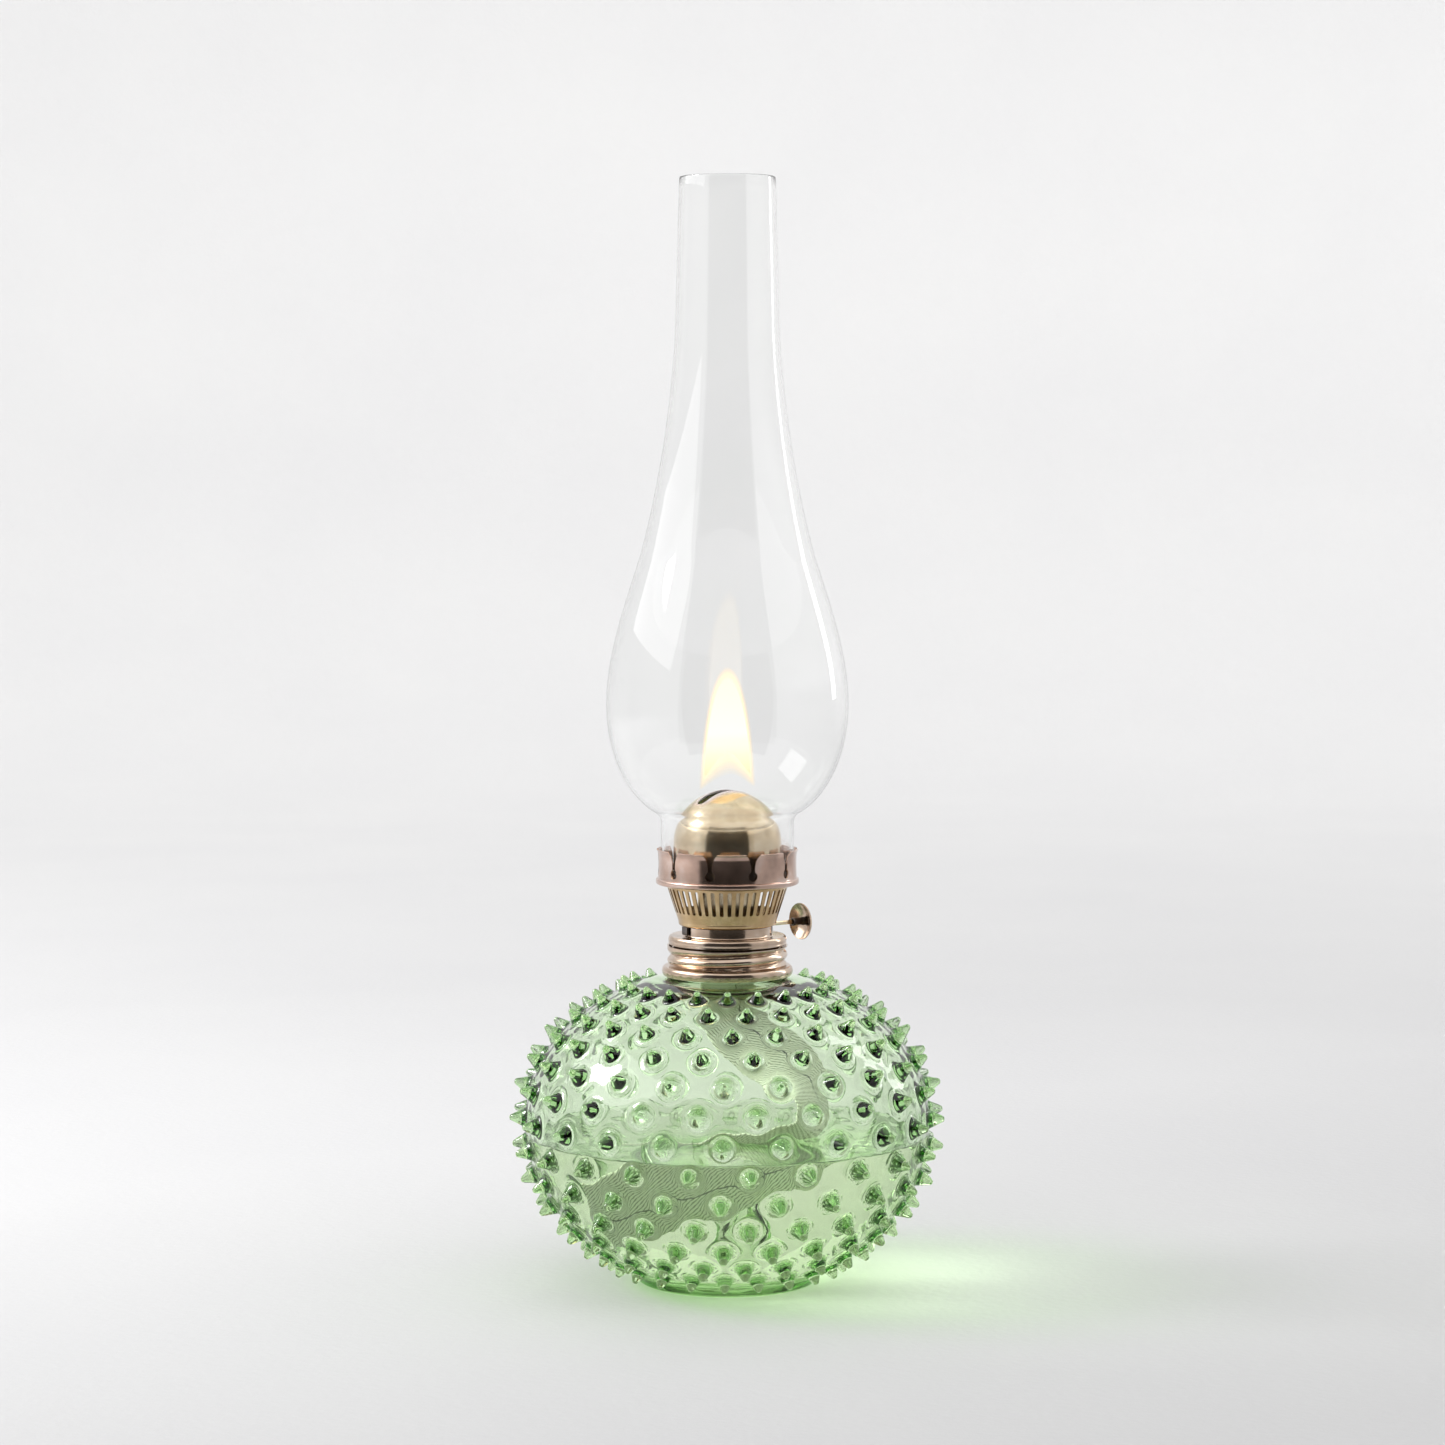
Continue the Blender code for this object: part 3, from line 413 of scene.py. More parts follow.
def glow(name, colours, strength, low, high, clear):
    """A shell of the flame: light whose colour changes with height.

    A clear shell adds its light to what is behind it, and a core hides that.
    """
    material = bpy.data.materials.new(name)
    material.use_nodes = True
    tree = material.node_tree
    tree.nodes.remove(tree.nodes["Principled BSDF"])
    apart = separated(tree, coordinates(tree))
    height = spread(tree, apart, "Z", From_Min=low * MM, From_Max=high * MM)
    colour = ramp(tree, height, "Result", colours)
    light = add(tree, "ShaderNodeEmission", Strength=strength)
    join(tree, colour, "Color", light, "Color")
    output = tree.nodes["Material Output"]
    if not clear:
        join(tree, light, "Emission", output, "Surface")
        return material
    through = add(tree, "ShaderNodeBsdfTransparent")
    through.inputs["Color"].default_value = (1.0, 0.99, 0.97, 1.0)
    both = add(tree, "ShaderNodeAddShader")
    tree.links.new(light.outputs["Emission"], both.inputs[0])
    tree.links.new(through.outputs["BSDF"], both.inputs[1])
    join(tree, both, "Shader", output, "Surface")
    return material


def studio_paper():
    """Matt white paper with a faint tooth, with painted shade that makes it darker near the lamp
    than at its far edge.
    """
    material, tree, shader = new_material("studio_paper")
    patches = noise(tree, 5.0, 6.0)
    tone = ramp(tree, patches, "Fac", [(0.3, (0.975, 0.975, 0.98)), (0.7, (1.0, 1.0, 1.0))])
    apart = separated(tree, coordinates(tree))
    level = add(tree, "ShaderNodeCombineXYZ")
    join(tree, apart, "X", level, "X")
    join(tree, apart, "Y", level, "Y")
    far = add(tree, "ShaderNodeVectorMath", operation="LENGTH")
    join(tree, level, "Vector", far, 0)
    metres = spread(tree, far, "Value", From_Max=3.0)
    # Painted shade: the paper's colour darkens towards the lamp and pales towards the far edge,
    # standing in for how the light falls.
    painted_falloff_shade = ramp(tree, metres, "Result", [
        (0.28, (0.60, 0.60, 0.605)), (0.67, (0.76, 0.76, 0.763)), (0.90, (0.82, 0.82, 0.822)),
        (0.96, (0.88, 0.88, 0.88)),
    ])
    lit = mixed(tree, 1.0, tone.outputs["Color"], painted_falloff_shade.outputs["Color"], "MULTIPLY")
    # Painted shade: the near right of the sheet is painted a little greyer, standing in for less
    # light falling on it.
    across = add(tree, "ShaderNodeMath", operation="MULTIPLY_ADD")
    join(tree, apart, "X", across, 0)
    across.inputs[1].default_value = -0.6
    join(tree, apart, "Y", across, 2)
    painted_right_shade = spread(tree, across, "Value", From_Min=-0.35, From_Max=0.35, To_Min=0.82)
    painted_right_shade_colour = mixed(tree, 1.0, lit, painted_right_shade.outputs["Result"], "MULTIPLY")
    tree.links.new(painted_right_shade_colour, shader.inputs["Base Color"])
    shader.inputs["Roughness"].default_value = 0.95
    shader.inputs["Specular IOR Level"].default_value = 0.1
    tooth = noise(tree, 260.0, 5.0)
    bump(tree, shader, tooth, "Fac", 0.25, 0.001)
    return material


# ---------------------------------------------------------------- shapes


def piece(name, points, faces, material, body, slot, *nodes, sharp=40, cloth=None):
    """A mesh piece in metres from points in millimetres, riding on a CAD body.

    cloth, if given, is each point's place on flat cloth, kept as a UV map of that name.
    """
    mesh = bpy.data.meshes.new(name)
    mesh.from_pydata([tuple(p) for p in np.asarray(points) * MM], [], faces)
    shape = bmesh.new()
    shape.from_mesh(mesh)
    if cloth is not None:
        layer = shape.loops.layers.uv.new("cloth")
        for face in shape.faces:
            for loop in face.loops:
                loop[layer].uv = cloth[loop.vert.index]
    bmesh.ops.remove_doubles(shape, verts=shape.verts, dist=2e-6)
    bmesh.ops.recalc_face_normals(shape, faces=shape.faces)
    shape.to_mesh(mesh)
    shape.free()
    mesh.shade_smooth()
    if sharp:
        mesh.set_sharp_from_angle(angle=radians(sharp))
    mesh.materials.append(material)
    made = bpy.data.objects.new(name, mesh)
    bpy.context.scene.collection.objects.link(made)
    if body:
        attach(made, body)
    if nodes:
        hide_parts(*nodes)
    return made


def around(radius, turn, level):
    """The point at an angle from the front, turning towards the right."""
    angle = radians(turn)
    return (radius * sin(angle), -radius * cos(angle), level)


def on_ring(point, turn):
    """A (radius, height) point at an angle from the front."""
    return around(point[0], turn, point[1])


def across_winder(along, beside):
    """The X and Y of a point given along the winder's direction and beside it."""
    turn = radians(WINDER_TURN)
    return (along * cos(turn) - beside * sin(turn), along * sin(turn) + beside * cos(turn))


def spun(outline, segments, place=around):
    """Points and faces of (radius, height) points turned about Z. Points on the axis are poles."""
    points = []
    rings = []
    for radius, height in outline:
        if radius == 0:
            rings.append([len(points)] * segments)
            points.append((0, 0, height))
            continue
        rings.append(list(range(len(points), len(points) + segments)))
        points += [place(radius, 360 * i / segments, height) for i in range(segments)]
    faces = []
    for ring, other in zip(rings, rings[1:]):
        for i in range(segments):
            j = (i + 1) % segments
            corners = [ring[i], ring[j], other[j], other[i]]
            faces.append([c for n, c in enumerate(corners) if c not in corners[:n]])
    return points, faces


def turned(name, outline, segments, material, body, slot, *nodes, closed=True, sharp=40):
    """A turned piece about the lamp's axis."""
    points, faces = spun([*outline, outline[0]] if closed else outline, segments)
    return piece(name, points, faces, material, body, slot, *nodes, sharp=sharp)


def shell(outer, inner, rows, columns, kept=lambda row, column: True):
    """Points and faces of a ring of sheet between two grids, without the refused cells."""
    points = []
    for side in (outer, inner):
        for row in range(rows):
            points += [side(row, column) for column in range(columns)]

    def index(side, row, column):
        return (side * rows + row) * columns + column % columns

    def is_kept(row, column):
        return 0 <= row < rows - 1 and kept(row, column % columns)

    faces = []
    for row in range(rows - 1):
        for column in range(columns):
            if not is_kept(row, column):
                continue
            corners = ((row, column), (row, column + 1), (row + 1, column + 1), (row + 1, column))
            for side in (0, 1):
                faces.append([index(side, *c) for c in corners])
            beyond = ((row - 1, column), (row, column + 1), (row + 1, column), (row, column - 1))
            for number, neighbour in enumerate(beyond):
                if not is_kept(*neighbour):
                    one, other = corners[number], corners[(number + 1) % 4]
                    faces.append([index(0, *one), index(0, *other),
                                  index(1, *other), index(1, *one)])
    return points, faces


def tube_faces(rows, columns):
    """Four-cornered faces between rows of points, each of them a closed ring."""
    faces = []
    for i in range(rows - 1):
        for j in range(columns):
            k = (j + 1) % columns
            faces.append((i * columns + j, i * columns + k,
                          (i + 1) * columns + k, (i + 1) * columns + j))
    return faces


def rounded(outline, radius, steps=4):
    """An outline of (radius, height) points with its inner corners rounded."""
    made = [outline[0]]
    for before, corner, after in zip(outline, outline[1:], outline[2:]):
        b, c, a = (np.array(p, float) for p in (before, corner, after))
        to_b, to_a = b - c, a - c
        long_b, long_a = np.hypot(*to_b), np.hypot(*to_a)
        reach = min(radius, 0.45 * long_b, 0.45 * long_a)
        start, end = c + to_b / long_b * reach, c + to_a / long_a * reach
        for i in range(steps + 1):
            t = i / steps
            made.append(tuple((1 - t) ** 2 * start + 2 * t * (1 - t) * c + t * t * end))
    made.append(outline[-1])
    return made


def curve(start, first_pull, second_pull, end, steps):
    """Points on a cubic curve, without its start."""
    points = []
    for i in range(1, steps + 1):
        t = i / steps
        weights = ((1 - t) ** 3, 3 * t * (1 - t) ** 2, 3 * t * t * (1 - t), t ** 3)
        corners = (start, first_pull, second_pull, end)
        points.append(tuple(sum(w * c[k] for w, c in zip(weights, corners)) for k in (0, 1)))
    return points


# ---------------------------------------------------------------- fount and oil


def body_point(angle, inset=0.0):
    """Radius and height on the fount's half ellipses; the angle is 0 at the widest level."""
    reach = np.where(angle > 0, BODY_RISE, BODY_DROP)
    return ((BODY_RADIUS - inset) * np.cos(angle), BODY_LEVEL + (reach - inset) * np.sin(angle))


def row_levels():
    """Angles of the lattice's levels from the top down: one past each end, and the hob rows."""
    highest = acos(FIRST_ROW_RADIUS / BODY_RADIUS)
    lowest = -acos(LAST_ROW_RADIUS / BODY_RADIUS)
    angles = np.linspace(highest, lowest, 601)
    radii, heights = body_point(angles)
    lengths = np.concatenate([[0], np.cumsum(np.hypot(np.diff(radii), np.diff(heights)))])
    places = np.linspace(0, 1, HOB_ROWS)
    places = places - ROW_LIFT / (HOB_ROWS - 1) * np.sin(pi * places)
    rows = np.interp(lengths[-1] * places, lengths, angles)
    spacing = lengths[-1] / (HOB_ROWS - 1)
    return [rows[0] + TOP_ROW_STEP, *rows, rows[-1] - BOTTOM_ROW_STEP], spacing


def on_body(u, v, levels):
    """Points and outward normals at lattice columns u and levels v."""
    angle = np.interp(v, np.arange(len(levels)), levels)
    radius, height = body_point(angle)
    reach = np.where(angle > 0, BODY_RISE, BODY_DROP)
    row_turns = (ROW_TURNS[0], *ROW_TURNS, ROW_TURNS[-1])
    own_turn = np.interp(v, np.arange(len(levels)), row_turns)
    turn = np.radians(HOB_TURN + own_turn + 180 * np.asarray(u) / HOBS_PER_ROW)
    out, up = np.cos(angle) / BODY_RADIUS, np.sin(angle) / reach
    length = np.hypot(out, up)
    flat = np.stack([np.sin(turn), -np.cos(turn)], -1)
    points = np.concatenate([flat * radius[..., None], height[..., None]], -1)
    normals = np.concatenate([flat * (out / length)[..., None], (up / length)[..., None]], -1)
    return points, normals


def hob_girth(row):
    """How wide this row's cones are beside the CAD's: those near the neck are slimmer."""
    return np.interp(row, [1, 3, 5, HOB_ROWS - 2, HOB_ROWS], [0.76, 0.82, 0.95, 0.95, 0.88])


def hob_rise(distance, row):
    """A blunt cone's height over the glass at this distance from its middle.

    The rows next to the neck and to the foot are pressed less deep.
    """
    distance = distance / hob_girth(row)
    short = np.interp(row, [1, 2, 4, 10, HOB_ROWS], [0.70, 0.80, 1.0, 1.0, 0.82])
    return short * np.interp(distance, [0.0, 0.7, 1.1, 1.45, 3.8, 4.2, 4.8, 5.6, 6.8],
                             [HOB_HEIGHT, 6.4, 6.1, 5.5, 0.95, 0.55, 0.27, 0.1, 0.0])


def hobnail_glass():
    """Points and faces of the outside, from the ring under the neck to the ring at the foot.

    Each hob stands in the middle of its own diamond of the lattice.
    """
    levels, spacing = row_levels()
    columns = 2 * HOBS_PER_ROW
    last = HOB_ROWS + 1
    per_side = 5
    cone_radii = (0.7, 1.1, 1.45, 2.2, 3.0, 3.8, 4.2, 4.8, 5.8)
    corners = np.array([(0, -1), (1, 0), (0, 1), (-1, 0), (0, -1)], float)
    shares = np.arange(per_side)[:, None] / per_side
    border = np.concatenate([start * (1 - shares) + end * shares
                             for start, end in zip(corners, corners[1:])])
    us, vs, faces, count = [], [], [], 0
    for row in range(1, HOB_ROWS + 1):
        radius, _ = body_point(np.array(levels[row]))
        across = 2 * pi * float(radius) / columns
        up = spacing if row > 1 else spacing * TOP_ROW_STEP / (levels[1] - levels[2])
        down = spacing if row < HOB_ROWS else spacing * BOTTOM_ROW_STEP / (levels[-3] - levels[-2])
        tall = np.where(border[:, 1] < 0, up, down)
        way = border * np.stack([np.full(len(border), across), tall], -1)
        reach = np.hypot(way[:, 0], way[:, 1])
        least = min(across * t / np.hypot(across, t) for t in (up, down))
        edge = min(cone_radii[-1], 0.86 * least)
        rings = [r for r in hob_girth(row) * np.array(cone_radii) if r < edge - 0.2] + [edge]
        offsets = [border * (r / reach)[:, None] for r in rings]
        offsets += [offsets[-1] * (1 - t) + border * t for t in (1 / 3, 2 / 3, 1.0)]
        for column in range((row + 1) % 2, columns, 2):
            us.append([column])
            vs.append([row])
            for ring in offsets:
                us.append(column + ring[:, 0])
                vs.append(row + ring[:, 1])
            n = len(border)
            for i in range(n):
                j = (i + 1) % n
                faces.append((count, count + 1 + i, count + 1 + j))
                for k in range(len(offsets) - 1):
                    one = count + 1 + k * n
                    faces.append((one + i, one + n + i, one + n + j, one + j))
            count += 1 + n * len(offsets)
    for level, way in ((0, 1), (last, -1)):
        for column in range(0, columns, 2):
            starts = []
            for k in range(per_side + 1):
                xs = np.arange(-per_side + k, per_side - k + 1)
                starts.append((count, xs[0]))
                us.append(column + 1 + xs / per_side)
                vs.append(np.full(len(xs), level + way * k / per_side))
                count += len(xs)
            for k in range(per_side):
                (here, first), (there, then) = starts[k], starts[k + 1]
                for x in range(first, -first):
                    a, b = here + x - first, here + x + 1 - first
                    if then <= x and x + 1 <= -then:
                        faces.append((a, b, there + x + 1 - then, there + x - then))
                    elif x < then:
                        faces.append((a, b, there + x + 1 - then))
                    else:
                        faces.append((a, b, there + x - then))
    u, v = np.concatenate(us), np.concatenate(vs)
    points, _ = on_body(u, v, levels)
    return raise_hobs(points, u, v, levels, columns), faces


def raise_hobs(points, u, v, levels, columns):
    """Moves points out over every hob that is near enough to lift them."""
    moved = points.copy()
    for row in range(1, HOB_ROWS + 1):
        close = np.abs(v - row) < 2.1
        for column in range((row + 1) % 2, columns, 2):
            apart = np.abs((u - column + columns / 2) % columns - columns / 2)
            near = np.nonzero(close & (apart < 3.2))[0]
            middle, axis = on_body(np.array(float(column)), np.array(float(row)), levels)
            distance = np.linalg.norm(points[near] - middle, axis=1)
            moved[near] += hob_rise(distance, row)[:, None] * axis
    return moved


def neck_and_inside():
    """From the shoulder over the neck's rim, down the bore and round the inside to its floor."""
    outline = rounded([
        (23.6, 118.5), (NECK_RADIUS, 119.6), (NECK_RADIUS, NECK_TOP),
        (BORE_RADIUS, NECK_TOP), (BORE_RADIUS, 115.4), (24.0, 113.4),
    ], 0.7)
    first = radians(64)
    steps = 40
    for i in range(steps):
        radius, height = body_point(np.array(first - (first + pi / 2) * i / steps), GLASS_WALL)
        outline.append((float(radius), float(height)))
    outline.append((0, INNER_FLOOR))
    return outline


def foot():
    """From the last hobs down to the flat ring that the lamp stands on, and the hollow in it."""
    return [*rounded([
        (36.4, 3.2), (FOOT_RADIUS + 1.1, 0.7), (FOOT_RADIUS, 0.0), (FOOT_INNER_RADIUS, 0.0),
        (FOOT_INNER_RADIUS - 1.5, 0.6), (14.0, 1.6),
    ], 0.6, 2), (0, 2.0)]


def fount(material):
    """The hobnail outside, closed over the neck and the foot by turned surfaces."""
    points, faces = hobnail_glass()
    segments = 10 * HOBS_PER_ROW
    levels, _ = row_levels()
    points = list(points)
    for end, outline in ((0, neck_and_inside()), (-1, foot())):
        radius, height = body_point(np.array(levels[end]))
        rings = [(float(radius), float(height)), *outline]
        start = HOB_TURN + ROW_TURNS[end]
        more, more_faces = spun(
            rings, segments, lambda r, turn, z, start=start: around(r, turn + start, z))
        base = len(points)
        points += more
        faces += [[base + i for i in face] for face in more_faces]
    piece("fount_glass", points, faces, material, "fount", "green_glass", "fount", sharp=0)


def oil(material):
    """The oil, which bites a little into the glass so that no air shows between them."""
    inset = GLASS_WALL - OIL_BITE
    reach = BODY_DROP - inset
    top = asin((OIL_LEVEL - BODY_LEVEL) / reach)
    steps = 44
    outline = [(0, INNER_FLOOR - OIL_BITE)]
    for i in range(1, steps + 1):
        angle = -pi / 2 + (top + pi / 2) * i / steps
        radius, height = body_point(np.array(angle), inset)
        outline.append((float(radius), float(height)))
    edge = outline[-1][0]
    outline += [(edge - 0.5, OIL_LEVEL - 0.25), (edge - 1.6, OIL_LEVEL - 0.6),
                (edge - 4.0, OIL_LEVEL - 0.75), (edge * 0.5, OIL_LEVEL - 0.8),
                (0, OIL_LEVEL - 0.8)]
    turned("lamp_oil", outline, 128, material, "fount", "clear_glass", closed=False, sharp=60)


# ---------------------------------------------------------------- collar and burner base


def thread_wave(turn, level):
    """0 at the bottom of the right-hand thread's groove and 1 on its crest."""
    place = (level - FRONT_CREST_LEVEL) / THREAD_PITCH - turn / 360
    return ((1 + cos(2 * pi * place)) / 2) ** 0.55


def fade(level, bottom, top):
    """1 inside a range of heights, falling smoothly to 0 over 1.5 mm at both its ends."""
    share = max(0.0, min(1.0, (level - bottom) / 1.5, (top - level) / 1.5))
    return share * share * (3 - 2 * share)


def sheet_inside(point):
    """The point a sheet's thickness nearer to the axis."""
    x, y, z = point
    shrink = 1 - SHEET / sqrt(x * x + y * y)
    return (x * shrink, y * shrink, z)


def fount_collar(material):
    """A skirt over the cement, and above it the thread that shows as ribs."""
    columns = 120
    skirt = rounded([
        (23.7, COLLAR_BOTTOM), (24.9, COLLAR_BOTTOM + 0.1), (25.5, COLLAR_BOTTOM + 2.0),
        (24.9, COLLAR_BOTTOM + 3.75), (22.9, COLLAR_BOTTOM + 4.0), (22.4, THREAD_BOTTOM - 0.2),
    ], 0.9, 5)
    thread_rows = 48
    levels = np.linspace(THREAD_BOTTOM, THREAD_TOP, thread_rows)

    def outer(row, column):
        turn = 360 * column / columns
        if row < len(skirt):
            return on_ring(skirt[row], turn)
        level = levels[row - len(skirt)]
        groove = THREAD_DEPTH * fade(level, THREAD_BOTTOM - 9, THREAD_TOP)
        return around(THREAD_CREST - groove * (1 - thread_wave(turn, level)), turn, level)

    def inner(row, column):
        return sheet_inside(outer(row, column))

    rows = len(skirt) + thread_rows
    points, faces = shell(outer, inner, rows, columns)
    piece("collar", points, faces, material, "fount", "rose_bronze", "fount_collar")


def gasket(material):
    """The washer under the flange, set back so that only a dark joint shows."""
    bottom, top = THREAD_TOP + 0.3, FLANGE_BOTTOM - 0.3
    inner, outer = 21.15, FLANGE_RIM_INNER_RADIUS - 0.3
    outline = rounded([(inner, top), (inner, bottom), (outer, bottom), (outer, top),
                       (inner, top)], 0.2)
    turned("joint_washer", outline, 96, material, "gasket", "cork", "burner_gasket")


def burner_base(material):
    """The male thread, the beaded flange and the drum, with a hole for the winder's bush."""
    columns = 120
    male_crest = THREAD_CREST - SHEET - THREAD_CLEARANCE
    male_root = male_crest - THREAD_DEPTH
    thread_rows = 40
    bottom = THREAD_BOTTOM + 0.7
    top = THREAD_TOP + 0.2
    levels = np.linspace(bottom, top, thread_rows)
    middle = (FLANGE_RIM_BOTTOM + FLANGE_TOP) / 2
    reach, half_height = 0.95, (FLANGE_TOP - FLANGE_RIM_BOTTOM) / 2
    outline = rounded([
        (male_root, FLANGE_BOTTOM - 0.7), (male_root + 0.2, FLANGE_BOTTOM),
        (FLANGE_RIM_INNER_RADIUS, FLANGE_BOTTOM + 0.1),
        (FLANGE_RIM_INNER_RADIUS + 0.05, FLANGE_RIM_BOTTOM + 0.2),
    ], 0.3, 2)
    outline += [(FLANGE_RADIUS + 0.1 - reach + reach * cos(a), middle + half_height * sin(a))
                for a in np.radians(np.linspace(-66, 84, 20))]
    outline += rounded([
        (FLANGE_RADIUS - 1.6, FLANGE_TOP), (DRUM_RADIUS, FLANGE_TOP - 0.1), (DRUM_RADIUS, DRUM_TOP),
    ], 0.9, 5)
    inside = offset_sheet(outline, SHEET)

    def outer(row, column):
        turn = 360 * column / columns
        if row >= thread_rows:
            return on_ring(outline[row - thread_rows], turn)
        level = levels[row]
        rise = THREAD_DEPTH * fade(level, bottom, top) * thread_wave(turn, level)
        return around(male_root + rise, turn, level)

    def inner(row, column):
        turn = 360 * column / columns
        if row >= thread_rows:
            return on_ring(inside[row - thread_rows], turn)
        return sheet_inside(outer(row, column))

    rows = thread_rows + len(outline)
    points, faces = shell(outer, inner, rows, columns)
    made = piece("burner_shell", points, faces, material, "burner", "rose_bronze", "burner_base")
    axis = winder_matrix()
    cutter_points, cutter_faces = spun([(0, 10), (1.8, 10), (1.8, 24), (0, 24)], 32)
    cut_with(made, [tuple(axis @ Vector(p)) for p in cutter_points], cutter_faces)


def offset_sheet(outline, thickness):
    """The same outline moved inwards by the sheet's thickness, square to itself."""
    points = np.array(outline, float)
    along = np.gradient(points, axis=0)
    along /= np.hypot(along[:, 0], along[:, 1])[:, None]
    moved = points + np.stack([-along[:, 1], along[:, 0]], -1) * thickness
    return [tuple(p) for p in moved]


def cut_with(thing, cutter_points, cutter_faces):
    """Cuts a shape given in millimetres out of a finished piece."""
    mesh = bpy.data.meshes.new("cutter")
    mesh.from_pydata([tuple(np.array(p) * MM) for p in cutter_points], [], cutter_faces)
    shape = bmesh.new()
    shape.from_mesh(mesh)
    bmesh.ops.recalc_face_normals(shape, faces=shape.faces)
    shape.to_mesh(mesh)
    shape.free()
    cutter = bpy.data.objects.new("cutter", mesh)
    bpy.context.scene.collection.objects.link(cutter)
    modifier = thing.modifiers.new("cut", "BOOLEAN")
    modifier.operation = "DIFFERENCE"
    modifier.object = cutter
    bpy.context.view_layer.update()
    graph = bpy.context.evaluated_depsgraph_get()
    cut = bpy.data.meshes.new_from_object(thing.evaluated_get(graph))
    thing.modifiers.clear()
    thing.data = cut
    bpy.data.objects.remove(cutter)


# ---------------------------------------------------------------- winder


def winder_matrix():
    """From the winder's own axes to the lamp's, in millimetres: Z runs along the shaft."""
    joint = next(j for j in frame["joints"] if j["name"] == "winder_turn")
    centre = Vector(joint["pos_m"]) / MM
    along = Vector(joint["axis"]).normalized()
    upward = Vector((0, 0, 1))
    side = upward.cross(along)
    turn = Matrix((side, upward, along)).transposed()
    return Matrix.Translation(centre) @ turn.to_4x4()


def winder_piece(name, points, faces, material, slot, node):
    axis = winder_matrix()
    placed = [tuple(axis @ Vector(p)) for p in points]
    piece(name, placed, faces, material, "winder", slot, node)


def winder_set(steel, brass, bronze):
    """The shaft, the ferrule and the riveted knob."""
    start, end = -11.5, KNOB_DISTANCE - 0.8
    outline = [(0, start), *rounded([(0.01, start), (SHAFT_RADIUS, start), (SHAFT_RADIUS, end),
                                     (0.01, end)], 0.15, 2), (0, end)]
    winder_piece("shaft", *spun(outline, 32), brass, "yellow_brass", "winder_shaft")
    bore = SHAFT_RADIUS + 0.3
    low, high = KNOB_DISTANCE - 6.2, KNOB_DISTANCE - 0.3
    ferrule = rounded([(bore, low + 2), (bore, low), (1.6, low), (1.6, low + 1.0), (1.45, low + 1.2),
                       (1.45, high - 1.2), (1.7, high - 1.0), (1.7, high), (bore, high),
                       (bore, high - 2)], 0.12, 2)
    winder_piece("ferrule", *spun([*ferrule, ferrule[0]], 40), steel, "dark_steel", "knob_ferrule")
    start = KNOB_DISTANCE + 1.0
    rivet = [(0, start), (2.0, start), (2.0, start + 0.25), (1.85, start + 0.6),
             (1.4, start + 0.95), (0.8, start + 1.15), (0, start + 1.2)]
    winder_piece("rivet_head", *spun(rivet, 40), brass, "yellow_brass", "knob_rivet")
    knob(bronze)


def knob(material):
    """A dished disc with a milled edge, hollow on the side that faces the burner."""
    ridges = 56
    per_ridge = 4
    thickness = 0.7
    bore = SHAFT_RADIUS + 0.3
    face = rounded([(bore, 0.0), (2.2, 0.0), (4.4, -0.7), (6.3, -1.8), (KNOB_RADIUS, -2.5)], 1.2, 4)
    back = [(r, z + thickness) for r, z in face[::-1]]
    outline = [*face, *back, face[0]]

    def milled(radius, turn, height):
        depth = 0.22 if radius > KNOB_RADIUS - 0.2 else 0.0
        radius -= depth * (0.5 - 0.5 * cos(radians(turn) * ridges))
        return around(radius, turn, height + KNOB_DISTANCE)

    points, faces = spun(outline, ridges * per_ridge, milled)
    winder_piece("milled_knob", points, faces, material, "rose_bronze", "knob_disc")


# ---------------------------------------------------------------- basket, gallery and dome


def air_basket(material):
    """A tapered ring of bars between a beaded foot and a turned-in rim."""
    per_cell = 3
    columns = 2 * BASKET_SLOTS * per_cell
    taper = (BASKET_HIGH_RADIUS - BASKET_LOW_RADIUS) / (BASKET_TOP - BASKET_BOTTOM)

    def wall(level):
        return (BASKET_LOW_RADIUS + taper * (level - BASKET_BOTTOM), level)

    foot_bead = rounded([
        (BASKET_LOW_RADIUS - 0.9, BASKET_BOTTOM), (BASKET_LOW_RADIUS + 0.35, BASKET_BOTTOM + 0.05),
        (BASKET_LOW_RADIUS + 0.5, BASKET_BOTTOM + 1.2), wall(BASKET_BOTTOM + 1.5),
        wall(SLOT_BOTTOM - 0.6),
    ], 0.7, 4)
    rim = rounded([wall(SLOT_TOP + 0.3), wall(BASKET_TOP), (21.0, BASKET_TOP)], 0.7, 4)
    lower = [*foot_bead, wall(SLOT_BOTTOM - 0.3)]
    slot_rows = [wall(SLOT_BOTTOM), wall(SLOT_BOTTOM + 0.35), wall(SLOT_TOP - 0.35), wall(SLOT_TOP)]
    outline = [*lower, *slot_rows, *rim]
    inside = offset_sheet(outline, SHEET * 0.9)
    first, last = len(lower), len(lower) + len(slot_rows) - 1
    middle = (SLOT_BOTTOM + SLOT_TOP) / 2
    half_height = (SLOT_TOP - SLOT_BOTTOM) / 2

    def turn_at(row, column):
        cell, part = divmod(column, per_cell)
        share = part / per_cell
        # Slots are a little wider than the bars, and round in at their ends.
        narrow = -0.03
        if first <= row <= last:
            ends = max(0.0, abs(outline[row][1] - middle) - half_height + 0.4) / 0.4
            narrow += 0.28 * ends
        edges = (cell + (narrow if cell % 2 == 0 else -narrow),
                 cell + 1 + (-narrow if cell % 2 == 0 else narrow))
        return 360 * (edges[0] * (1 - share) + edges[1] * share) / (2 * BASKET_SLOTS)

    def outer(row, column):
        return on_ring(outline[row], turn_at(row, column))

    def inner(row, column):
        return on_ring(inside[row], turn_at(row, column))

    def is_bar(row, column):
        return not (first <= row < last and (column // per_cell) % 2 == 0)

    points, faces = shell(outer, inner, len(outline), columns, is_bar)
    piece("basket", points, faces, material, "crown", "basket_brass", "air_basket")


